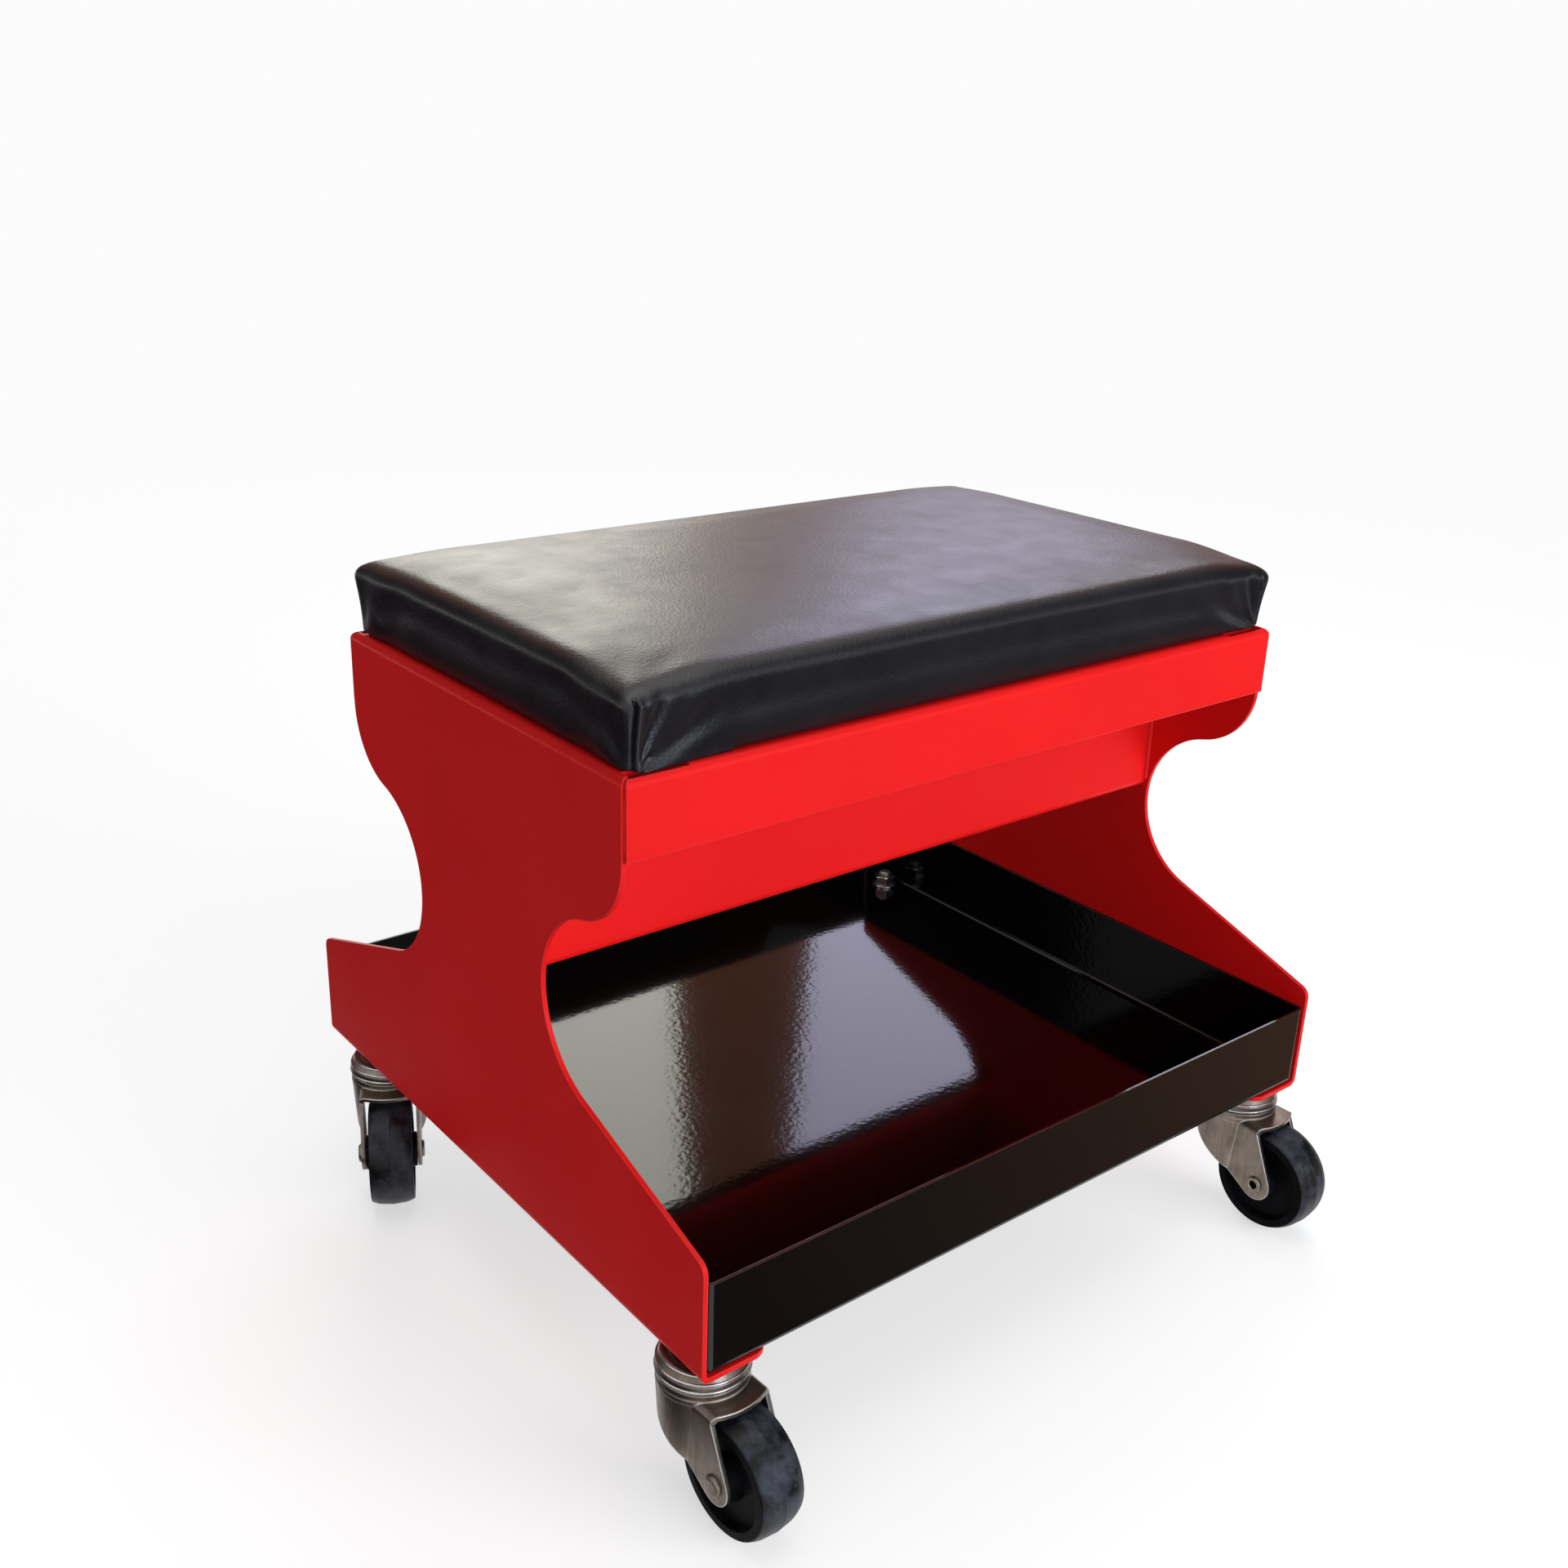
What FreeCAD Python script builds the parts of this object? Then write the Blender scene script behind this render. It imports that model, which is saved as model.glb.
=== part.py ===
"""Rolling workshop seat.

Two folded steel side panels with a waisted cut-out carry a padded seat on top
and an open tool tray below. Aprons and stretchers tie the panels together, and
four swivel casters are bolted up through the panels' foot flanges and the tray.

Everything is built about the middle of the side panels, with height zero at
the panels' underside, and is moved onto the floor when it is saved.
X runs from the left panel to the right one, Y from the front to the rear.
"""
import FreeCAD, Part
import math
import os

V = FreeCAD.Vector
os.makedirs("parts", exist_ok=True)

# Side panels
frame_width = 440.0
panel_height = 270.0
panel_sheet = 2.5
panel_bend = 2.0
top_half_depth = 130.5
base_half_depth = 194.5
waist_half_depth = 61.0
waist_height = 144.0
waist_radius = 50.0
shoulder_radius = 40.0
ear_slope_deg = 18.5
ear_tip_radius = 7.0
top_corner_radius = 4.0
foot_flange_width = 40.0
foot_corner_radius = 10.0
seat_flange_width = 35.0
seat_flange_relief = 7.0

# Aprons under the seat's front and rear edge
apron_height = 38.0
apron_flange = 22.0
apron_end_inset = 1.0
apron_corner_radius = 4.0

# Stretchers between the panels' waists
stretcher_height = 75.0
stretcher_flange = 16.0
front_stretcher_bottom = 150.0
rear_stretcher_bottom = 121.0
stretcher_setback = 2.0

# Tool tray
tray_sheet = 1.5
tray_height = 50.0
tray_setback = 0.3
tray_side_gap = 0.3
tray_bend = 2.5

# Seat, which follows the frame's top
cushion_side_inset = 2.5
cushion_front_overhang = 0.0
cushion_side_height = 42.0
cushion_crown = 3.0
cushion_corner_drop = 7.0
cushion_corner_radius = 9.0
cushion_edge_radius = 8.0
cushion_side_draw = 2.0
cushion_foot_tuck = 3.0
cover_thickness = 1.0
hem_past_staples = 5.0
board_thickness = 12.0
board_edge_gap = 2.0
soft_gap = 0.3

# Cover staples
staple_length = 10.0
staple_width = 1.2
staple_thickness = 0.6
staple_flange_gap = 6.5
staple_corner_distance = 27.0
staple_spacing = 52.0

# Seat screws, three up through each seat flange
seat_screw_count = 3
seat_screw_radius = 2.1
seat_screw_head_radius = 4.4
seat_screw_head_height = 2.6
seat_screw_grip = 9.0
seat_screw_end_distance = 28.0
seat_screw_edge_distance = 10.0
seat_washer_radius = 6.0
seat_washer_thickness = 1.0
hole_clearance = 0.3

# Caster stems and what holds them in the tray
stem_from_side = 19.0
front_stem_setback = 25.0
rear_stem_setback = 38.0
stem_radius = 4.0
stem_tip_chamfer = 0.8
stem_tip_length = 3.0
nut_across_flats = 13.0
nut_height = 6.5
nut_chamfer = 1.0
stem_washer_radius = 8.5
stem_washer_thickness = 1.6

# Caster bearing, from the foot flange downwards
caster_height = 85.0
collar_radius = 9.5
collar_height = 4.5
race_radius = 22.8
race_thickness = 3.5
race_groove_radius = 15.5
race_ridge_radius = 20.0
race_ridge_rise = 1.0
race_rim_sheet = 1.6
race_rim_height = 3.6
race_rim_drop = 8.0
ball_radius = 2.2
ball_pitch_radius = 16.0
ball_count = 12
ball_groove_gap = 0.3
race_to_dome = 3.0
king_pin_radius = 5.0
swivel_running_gap = 0.05
keeper_radius = 13.0
keeper_thickness = 2.0
keeper_gap = 0.3
king_head_radius = 8.5
king_head_height = 2.2

# Caster fork
dome_radius = 19.0
dome_neck_radius = 20.6
dome_neck_drop = 2.4
dome_ring_radius = 22.3
dome_ring_height = 3.1
dome_foot_radius = 22.6
dome_height = 6.0
yoke_sheet = 2.3
yoke_bend = 1.5
bell_low_radius = 18.9
caster_trail = 30.5
axle_boss_radius = 10.0
yoke_front_reach = 32.5
yoke_rear_waist = 16.0
yoke_rear_waist_drop = 19.0

# Caster wheel and axle
wheel_radius = 31.5
wheel_width = 25.0
wheel_edge_radius = 29.0
wheel_edge_rounding = 0.8
wheel_shoulder_width = 17.0
wheel_shoulder_rounding = 12.0
wheel_tread_crown = 0.8
wheel_rim_depth = 7.0
wheel_recess = 4.0
wheel_recess_draft = 1.5
wheel_hub_radius = 10.0
wheel_side_play = 2.7
hub_end_gap = 0.5
axle_radius = 4.0
axle_head_radius = 5.6
axle_head_height = 2.0
axle_flare_radius = 4.9
axle_flare_height = 1.6
axle_bore_radius = 2.6
axle_bore_depth = 8.0
sleeve_radius = 5.5
wheel_running_gap = 0.06

# How each caster stands at rest: the way its wheel trails, from +X towards +Y,
# and the side of its fork that the rivet's round head is on
rest_turns_deg = {"front_left": -87.5, "front_right": -88.5, "rear_left": -117.0, "rear_right": 63.0}
rivet_head_sides = {"front_left": -1, "front_right": 1, "rear_left": -1, "rear_right": 1}

# The cushion's side as shares: of the side's height, and of the tuck at its foot
side_shares = ((0.0, 1.0), (0.13, 0.35), (0.42, 0.0))
edge_turns_deg = (0.0, 35.0, 65.0, 90.0)
# The crown's levels as shares of the way from the cushion's edge to its middle
crown_shares = (0.14, 0.36, 0.65, 0.88)
# How much of the corners' drop is reached where a side runs into its corner
side_end_drop_share = 0.4
# How much of a round head's height its rounding takes, and where a diagonal meets a quarter turn
head_round_share = 0.9
diagonal_share = math.sqrt(0.5)

# How far cutting tools run past what they cut, how near two points are one,
# and how finely an edge of the wheel is followed to find its reach
overrun = 5.0
same_point = 1e-6
points_per_edge = 60

panel_outer = frame_width / 2
panel_inner = panel_outer - panel_sheet
stem_x = panel_outer - stem_from_side
front_stem_y = front_stem_setback - base_half_depth
rear_stem_y = base_half_depth - rear_stem_setback
tray_floor_top = panel_sheet + tray_sheet
axle_drop = caster_height - wheel_radius
seat_flange_edge = panel_outer - seat_flange_width
apron_face_y = top_half_depth + panel_sheet
cushion_half_width = panel_outer - cushion_side_inset
cushion_half_depth = top_half_depth + cushion_front_overhang
staple_row_x = seat_flange_edge - staple_flange_gap
staple_row_y = apron_face_y - apron_flange - staple_flange_gap
board_low = panel_height + cover_thickness
board_top = board_low + board_thickness

# Heights in the caster bearing, from the foot flange's underside
race_top = -collar_height
race_under = race_top - race_thickness
dome_top = race_under - race_to_dome
dome_neck = dome_top - dome_neck_drop
dome_hollow_radius = dome_ring_radius - yoke_sheet
yoke_top = dome_top - dome_height
keeper_top = dome_top - yoke_sheet - keeper_gap
keeper_bottom = keeper_top - keeper_thickness
ball_height = (race_under + dome_top) / 2
yoke_inner = wheel_width / 2 + wheel_side_play
yoke_outer = yoke_inner + yoke_sheet

# Where each caster stands in plan
stems = {
    "front_left": (-stem_x, front_stem_y),
    "front_right": (stem_x, front_stem_y),
    "rear_left": (-stem_x, rear_stem_y),
    "rear_right": (stem_x, rear_stem_y),
}


def save(name, *shapes):
    """Move the shapes onto the floor and write them as one node."""
    solids = [solid for shape in shapes for solid in shape.Solids]
    piece = solids[0] if len(solids) == 1 else Part.makeCompound(solids)
    piece = piece.copy()
    piece.translate(floor_shift)
    if not piece.isValid() or any(solid.Volume <= 0 for solid in piece.Solids):
        raise ValueError(name + " is not a sound solid")
    piece.exportStep("parts/" + name + ".step")


def round_corner(before, point, after, radius):
    """Start, middle and end of the arc that rounds the corner at point."""
    to_before = (before - point).normalize()
    to_after = (after - point).normalize()
    half = to_before.getAngle(to_after) / 2
    reach = radius / math.tan(half)
    inward = radius / math.sin(half) - radius
    middle = point + (to_before + to_after).normalize() * inward
    return point + to_before * reach, middle, point + to_after * reach


def rounded_face(corners, place):
    """A flat face with (a, b, radius) corners, where place(a, b) is a corner's point in space."""
    points = [place(a, b) for a, b, radius in corners]
    arcs = []
    for index, point in enumerate(points):
        after = points[(index + 1) % len(points)]
        arcs.append(round_corner(points[index - 1], point, after, corners[index][2]))
    edges = []
    for index, (start, middle, end) in enumerate(arcs):
        last_end = arcs[index - 1][2]
        if last_end.distanceToPoint(start) > same_point:
            edges.append(Part.makeLine(last_end, start))
        if start.distanceToPoint(end) > same_point:
            edges.append(Part.Arc(start, middle, end).toShape())
    return Part.Face(Part.Wire(edges))


def turned(corners):
    """A solid turned about the Z axis from (radius, height, rounding) corners."""
    face = rounded_face(corners, lambda a, b: V(a, 0, b))
    return face.revolve(V(0, 0, 0), V(0, 0, 1), 360)


def rod(radius, low, high, x=0, y=0):
    """An upright cylinder from low to high."""
    return Part.makeCylinder(radius, high - low, V(x, y, low))


def block(low, high):
    """A box between its lowest and highest corner."""
    size = high - low
    return Part.makeBox(size.x, size.y, size.z, low)


def mirrored(shape, normal):
    """The shape's mirror image through the frame's middle."""
    return shape.mirror(V(0, 0, 0), normal)


def side_outline():
    """The side panel's waisted outline, as a face on the frame's middle plane."""
    slope = math.radians(ear_slope_deg)
    waist = V(0, waist_half_depth + waist_radius, waist_height)
    shoulder_y = top_half_depth - shoulder_radius
    rise = math.sqrt((waist_radius + shoulder_radius) ** 2 - (shoulder_y - waist.y) ** 2)
    shoulder = V(0, shoulder_y, waist_height + rise)
    to_shoulder = (shoulder - waist).normalize()
    turn_point = waist + to_shoulder * waist_radius
    waist_point = V(0, waist_half_depth, waist_height)
    shoulder_middle = shoulder + (V(0, 1, 0) - to_shoulder).normalize() * shoulder_radius
    shoulder_end = V(0, top_half_depth, shoulder.z)
    ear_start = waist - V(0, math.sin(slope), math.cos(slope)) * waist_radius
    ear_drop = (base_half_depth - ear_start.y) * math.tan(slope)
    foot = V(0, base_half_depth, 0)
    ear_tip = V(0, base_half_depth, ear_start.z - ear_drop)
    top = V(0, top_half_depth, panel_height)
    tip = round_corner(foot, ear_tip, ear_start, ear_tip_radius)
    corner = round_corner(shoulder_end, top, V(0, 0, panel_height), top_corner_radius)
    rear = [
        Part.makeLine(foot, tip[0]),
        Part.Arc(*tip).toShape(),
        Part.makeLine(tip[2], ear_start),
        Part.Arc(ear_start, waist_point, turn_point).toShape(),
        Part.Arc(turn_point, shoulder_middle, shoulder_end).toShape(),
        Part.makeLine(shoulder_end, corner[0]),
        Part.Arc(*corner).toShape(),
    ]
    front = [mirrored(edge, V(0, 1, 0)) for edge in rear]
    closing = [Part.makeLine(end, V(0, -end.y, end.z)) for end in (foot, corner[2])]
    return Part.Face(Part.Wire(Part.sortEdges(rear + front + closing)[0]))


def seat_screw_places():
    """Where the seat screws stand on the right panel's seat flange, well inside the board's edge."""
    x = seat_flange_edge + seat_screw_edge_distance
    reach = top_half_depth - seat_screw_end_distance
    step = 2 * reach / (seat_screw_count - 1)
    return [(x, -reach + index * step) for index in range(seat_screw_count)]


def side_panel():
    """The right side panel: one sheet folded inwards at its foot and at its top."""
    fold = panel_bend + panel_sheet
    foot_end = panel_outer - foot_flange_width
    seat_end = seat_flange_edge
    section = rounded_face([
        (foot_end, 0, 0),
        (panel_outer, 0, fold),
        (panel_outer, panel_height, fold),
        (seat_end, panel_height, 0),
        (seat_end, panel_height - panel_sheet, 0),
        (panel_inner, panel_height - panel_sheet, panel_bend),
        (panel_inner, panel_sheet, panel_bend),
        (foot_end, panel_sheet, 0),
    ], lambda a, b: V(a, -base_half_depth, b))
    panel = section.extrude(V(0, 2 * base_half_depth, 0))
    panel = panel.common(side_outline().extrude(V(panel_outer, 0, 0)))
    plan = rounded_face([
        (foot_end, -base_half_depth, foot_corner_radius),
        (panel_outer, -base_half_depth, 0),
        (panel_outer, base_half_depth, 0),
        (foot_end, base_half_depth, foot_corner_radius),
    ], lambda a, b: V(a, b, 0))
    panel = panel.common(plan.extrude(V(0, 0, panel_height)))
    flange_half = top_half_depth - seat_flange_relief
    for way in (-1, 1):
        ends = sorted((way * flange_half, way * (top_half_depth + overrun)))
        low = V(seat_end - overrun, ends[0], panel_height - fold)
        high = V(panel_outer - fold, ends[1], panel_height + overrun)
        panel = panel.cut(block(low, high))
    for y in (front_stem_y, rear_stem_y):
        hole = rod(stem_radius + hole_clearance, -overrun, panel_sheet + overrun, stem_x, y)
        panel = panel.cut(hole)
    for x, y in seat_screw_places():
        hole = rod(seat_screw_radius + hole_clearance, panel_height - fold, panel_height + overrun, x, y)
        panel = panel.cut(hole)
    return panel


def rear_apron():
    """The rear apron: a strip folded inwards over the seat opening's rear edge."""
    fold = panel_bend + panel_sheet
    half_length = panel_outer - apron_end_inset
    face_y = apron_face_y
    bottom = panel_height - apron_height
    section = rounded_face([
        (face_y, bottom, 0),
        (face_y, panel_height, fold),
        (face_y - apron_flange, panel_height, 0),
        (face_y - apron_flange, panel_height - panel_sheet, 0),
        (top_half_depth, panel_height - panel_sheet, panel_bend),
        (top_half_depth, bottom, 0),
    ], lambda a, b: V(-half_length, a, b))
    strip = section.extrude(V(2 * half_length, 0, 0))
    elevation = rounded_face([
        (-half_length, bottom, 0),
        (half_length, bottom, 0),
        (half_length, panel_height, apron_corner_radius),
        (-half_length, panel_height, apron_corner_radius),
    ], lambda a, b: V(a, 0, b))
    strip = strip.common(elevation.extrude(V(0, face_y, 0)))
    for way in (-1, 1):
        ends = sorted((way * seat_flange_edge, way * (panel_outer + overrun)))
        low = V(ends[0], 0, bottom - overrun)
        high = V(ends[1], top_half_depth, panel_height + overrun)
        strip = strip.cut(block(low, high))
    return strip


def rear_stretcher(bottom):
    """A channel between the panels' waists, its flanges turned to the frame's middle."""
    fold = panel_bend + panel_sheet
    face_y = waist_half_depth - stretcher_setback
    top = bottom + stretcher_height
    section = rounded_face([
        (face_y - stretcher_flange, bottom, 0),
        (face_y, bottom, fold),
        (face_y, top, fold),
        (face_y - stretcher_flange, top, 0),
        (face_y - stretcher_flange, top - panel_sheet, 0),
        (face_y - panel_sheet, top - panel_sheet, panel_bend),
        (face_y - panel_sheet, bottom + panel_sheet, panel_bend),
        (face_y - stretcher_flange, bottom + panel_sheet, 0),
    ], lambda a, b: V(-panel_inner, a, b))
    return section.extrude(V(2 * panel_inner, 0, 0))


def folded_block(half_width, half_depth, low, high, radius):
    """A block whose upright and lower edges are rounded."""
    solid = block(V(-half_width, -half_depth, low), V(half_width, half_depth, high))
    edges = [edge for edge in solid.Edges if edge.BoundBox.ZMin < high - same_point]
    return solid.makeFillet(radius, edges)


def tool_tray():
    """The open tray between the panels, folded from one sheet, with holes for the stems."""
    half_width = panel_inner - tray_side_gap
    half_depth = base_half_depth - tray_setback
    top = panel_sheet + tray_height
    outer = folded_block(half_width, half_depth, panel_sheet, top + overrun, tray_bend + tray_sheet)
    inner = folded_block(half_width - tray_sheet, half_depth - tray_sheet, tray_floor_top,
                         top + 2 * overrun, tray_bend)
    above = block(V(-panel_outer, -base_half_depth, top), V(panel_outer, base_half_depth, top + 3 * overrun))
    tray = outer.cut(inner).cut(above)
    for x, y in stems.values():
        tray = tray.cut(rod(stem_radius + hole_clearance, 0, tray_floor_top + overrun, x, y))
    return tray


def pad_ring(half_width, half_depth, height, drop):
    """One level of the cushion: sides that draw in and rise between rounded, dropped corners."""
    corner = min(cushion_corner_radius, half_depth / 2)
    bulge = corner * (1 - diagonal_share)
    end = height - drop * side_end_drop_share
    edges = []
    quarter = [
        V(half_width, corner - half_depth, end),
        V(half_width - cushion_side_draw, 0, height),
        V(half_width, half_depth - corner, end),
        V(half_width - bulge, half_depth - bulge, height - drop),
        V(half_width - corner, half_depth, end),
        V(0, half_depth - cushion_side_draw, height),
        V(corner - half_width, half_depth, end),
        V(bulge - half_width, half_depth - bulge, height - drop),
        V(-half_width, half_depth - corner, end),
    ]
    half_turn = [V(-point.x, -point.y, point.z) for point in quarter]
    loop = quarter + half_turn[1:]
    for index in range(0, len(loop) - 1, 2):
        edges.append(Part.Arc(loop[index], loop[index + 1], loop[index + 2]).toShape())
    return Part.Wire(edges)


def pad(shrink):
    """The crowned cushion, its whole surface drawn in by shrink."""
    half_width = cushion_half_width - shrink
    half_depth = cushion_half_depth - shrink
    low = panel_height + shrink
    side = cushion_side_height - 2 * shrink
    rings = []
    for height_share, tuck_share in side_shares:
        inset = cushion_foot_tuck * tuck_share
        height = low + side * height_share
        drop = cushion_corner_drop * height_share
        rings.append(pad_ring(half_width - inset, half_depth - inset, height, drop))
    for turn_deg in edge_turns_deg:
        turn = math.radians(turn_deg)
        inset = cushion_edge_radius * (1 - math.cos(turn))
        height = low + side - cushion_edge_radius * (1 - math.sin(turn))
        rings.append(pad_ring(half_width - inset, half_depth - inset, height, cushion_corner_drop))
    for share in crown_shares:
        inset = cushion_edge_radius + (half_depth - cushion_edge_radius) * share
        height = low + side + cushion_crown * (1 - (1 - share) ** 2)
        drop = cushion_corner_drop * (1 - share / crown_shares[-1]) ** 2
        rings.append(pad_ring(half_width - inset, half_depth - inset, height, drop))
    return Part.makeLoft(rings, True, True)


def seat_cover():
    """The vinyl cover: crown, sides and the hem that is folded in under the board."""
    window_x = staple_row_x - hem_past_staples
    window_y = staple_row_y - hem_past_staples
    window = block(V(-window_x, -window_y, panel_height - overrun), V(window_x, window_y, board_top))
    cover = pad(0).cut(pad(cover_thickness)).cut(window)
    for x, y in seat_screw_places():
        for side in (-1, 1):
            hole = rod(seat_screw_radius + hole_clearance, panel_height - overrun, board_top, side * x, y)
            cover = cover.cut(hole)
    return cover


def seat_foam():
    """The foam block between the board and the cover."""
    low = V(-cushion_half_width, -cushion_half_depth, board_top)
    high = V(cushion_half_width, cushion_half_depth, board_top + 2 * cushion_side_height)
    return pad(cover_thickness + soft_gap).common(block(low, high))


def seat_board():
    """The plywood board that the cover is stapled round."""
    tuck = cover_thickness + cushion_foot_tuck + cushion_side_draw + board_edge_gap
    half_width = cushion_half_width - tuck
    half_depth = cushion_half_depth - tuck
    corners = [(-half_width, -half_depth), (half_width, -half_depth),
               (half_width, half_depth), (-half_width, half_depth)]
    plate = rounded_face([(a, b, cushion_corner_radius) for a, b in corners],
                         lambda a, b: V(a, b, board_low))
    board = plate.extrude(V(0, 0, board_thickness))
    for x, y in seat_screw_places():
        for side in (-1, 1):
            tip = panel_height + seat_screw_grip
            board = board.cut(rod(seat_screw_radius, board_low - overrun, tip, side * x, y))
    return board


def cover_staples():
    """The staples' crowns along the hem, which their legs pin to the board."""
    low = panel_height - staple_thickness
    staples = []
    rows = ((staple_row_y, staple_row_x, True), (staple_row_x, staple_row_y, False))
    for row, across, along_x in rows:
        reach = across - staple_corner_distance
        count = 1 + int(2 * reach / staple_spacing)
        for index in range(count):
            place = -reach + 2 * reach * index / (count - 1)
            for side in (-1, 1):
                size = V(staple_length, staple_width, 0) if along_x else V(staple_width, staple_length, 0)
                middle = V(place, side * row, low) if along_x else V(side * row, place, low)
                corner = middle - size / 2
                staples.append(block(corner, corner + size + V(0, 0, staple_thickness)))
    return staples


def seat_screw():
    """One seat screw, standing on its head with its seat at height zero."""
    length = panel_sheet + seat_washer_thickness + seat_screw_grip
    tip = seat_screw_radius
    return turned([
        (0, -seat_screw_head_height, 0),
        (seat_screw_head_radius, -seat_screw_head_height, seat_screw_head_height / 2),
        (seat_screw_head_radius, 0, 0),
        (seat_screw_radius, 0, 0),
        (seat_screw_radius, length - tip, 0),
        (0, length, 0),
    ])


def ring(inner, outer, low, high):
    """A plain washer or sleeve."""
    return rod(outer, low, high).cut(rod(inner, low - overrun, high + overrun))


def stem_nut():
    """The hexagonal nut on a caster stem, seated at height zero."""
    corner = nut_across_flats / math.sqrt(3)
    points = []
    for index in range(6):
        turn = math.radians(60 * index)
        points.append((corner * math.cos(turn), corner * math.sin(turn), 0))
    prism = rounded_face(points, lambda a, b: V(a, b, 0)).extrude(V(0, 0, nut_height))
    flat = nut_across_flats / 2
    shape = turned([
        (0, 0, 0),
        (flat, 0, 0),
        (corner, nut_chamfer / 2, 0),
        (corner, nut_height - nut_chamfer / 2, 0),
        (flat, nut_height, 0),
        (0, nut_height, 0),
    ])
    return prism.common(shape).cut(rod(stem_radius, -overrun, nut_height + overrun))


def caster_stem():
    """Threaded stem, collar and king pin in one, its lower end riveted over."""
    tip = tray_floor_top + stem_washer_thickness + nut_height + stem_tip_length
    head_low = keeper_bottom - king_head_height
    return turned([
        (0, tip, 0),
        (stem_radius - stem_tip_chamfer, tip, 0),
        (stem_radius, tip - stem_tip_chamfer, 0),
        (stem_radius, 0, 0),
        (collar_radius, 0, 0),
        (collar_radius, race_top, 0),
        (king_pin_radius, race_top, 0),
        (king_pin_radius, keeper_bottom, 0),
        (king_head_radius, keeper_bottom, 0),
        (king_head_radius, head_low, king_head_height * head_round_share),
        (0, head_low, 0),
    ])


def ball_groove():
    """The ring that the balls and their running gap fill."""
    return Part.makeTorus(ball_pitch_radius, ball_radius + ball_groove_gap, V(0, 0, ball_height))


def caster_race():
    """The fixed top race: a dished disc with a round ridge, whose rim hangs over the balls."""
    ridge_top = race_top + race_ridge_rise
    rim_low = race_top - race_rim_drop
    race = turned([
        (king_pin_radius, race_top, 0),
        (race_groove_radius, race_top, race_rim_sheet / 2),
        (race_groove_radius + race_ridge_rise, ridge_top, race_rim_sheet / 2),
        (race_ridge_radius, ridge_top, race_rim_sheet),
        (race_radius, rim_low + race_rim_height, race_rim_sheet),
        (race_radius, rim_low, 0),
        (race_radius - race_rim_sheet, rim_low, 0),
        (race_radius - race_rim_sheet, race_under, 0),
        (king_pin_radius, race_under, 0),
    ])
    return race.cut(ball_groove())


def caster_balls():
    """The ring of balls between the top race and the fork."""
    balls = []
    for index in range(ball_count):
        turn = 2 * math.pi * index / ball_count
        place = V(ball_pitch_radius * math.cos(turn), ball_pitch_radius * math.sin(turn), ball_height)
        balls.append(Part.makeSphere(ball_radius, place))
    return balls


def tangent_turn(point, centre, radius, side):
    """The angle, about the circle's centre, where a line from point touches the circle."""
    away = point - centre
    return math.atan2(away.z, away.x) + side * math.acos(radius / away.Length)


def yoke_profile():
    """The fork seen from the side, from its top plate down to the axle boss."""
    boss = V(caster_trail, 0, -axle_drop)
    rear_waist = V(-yoke_rear_waist, 0, yoke_top - yoke_rear_waist_drop)
    front_top = V(math.sqrt(yoke_front_reach ** 2 - yoke_outer ** 2), 0, yoke_top - yoke_sheet - yoke_bend)
    rear_turn = tangent_turn(rear_waist, boss, axle_boss_radius, 1)
    front_turn = tangent_turn(front_top, boss, axle_boss_radius, -1) + 2 * math.pi
    turns = (front_turn, (front_turn + rear_turn) / 2, rear_turn)
    arc = [boss + V(math.cos(turn), 0, math.sin(turn)) * axle_boss_radius for turn in turns]
    plate_end = yoke_front_reach + overrun
    path = [arc[2], rear_waist, V(-dome_foot_radius, 0, yoke_top - yoke_sheet),
            V(-dome_foot_radius, 0, yoke_top), V(plate_end, 0, yoke_top),
            V(plate_end, 0, front_top.z), front_top, arc[0]]
    edges = [Part.makeLine(start, end) for start, end in zip(path, path[1:])]
    edges.append(Part.Arc(*arc).toShape())
    return Part.Face(Part.Wire(edges))


def yoke_form(half, top, shrink):
    """The fork's outer or inner form: a bell round the king pin and straight cheeks."""
    low = -caster_height
    bell = Part.makeCone(bell_low_radius - shrink, dome_foot_radius - shrink, top - low, V(0, 0, low))
    reach = caster_trail + axle_boss_radius + overrun
    fold = yoke_bend + yoke_sheet - shrink
    cheeks = rounded_face([(-half, low, 0), (half, low, 0), (half, top, fold), (-half, top, fold)],
                          lambda a, b: V(0, a, b)).extrude(V(reach, 0, 0))
    return bell.fuse(cheeks)


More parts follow.
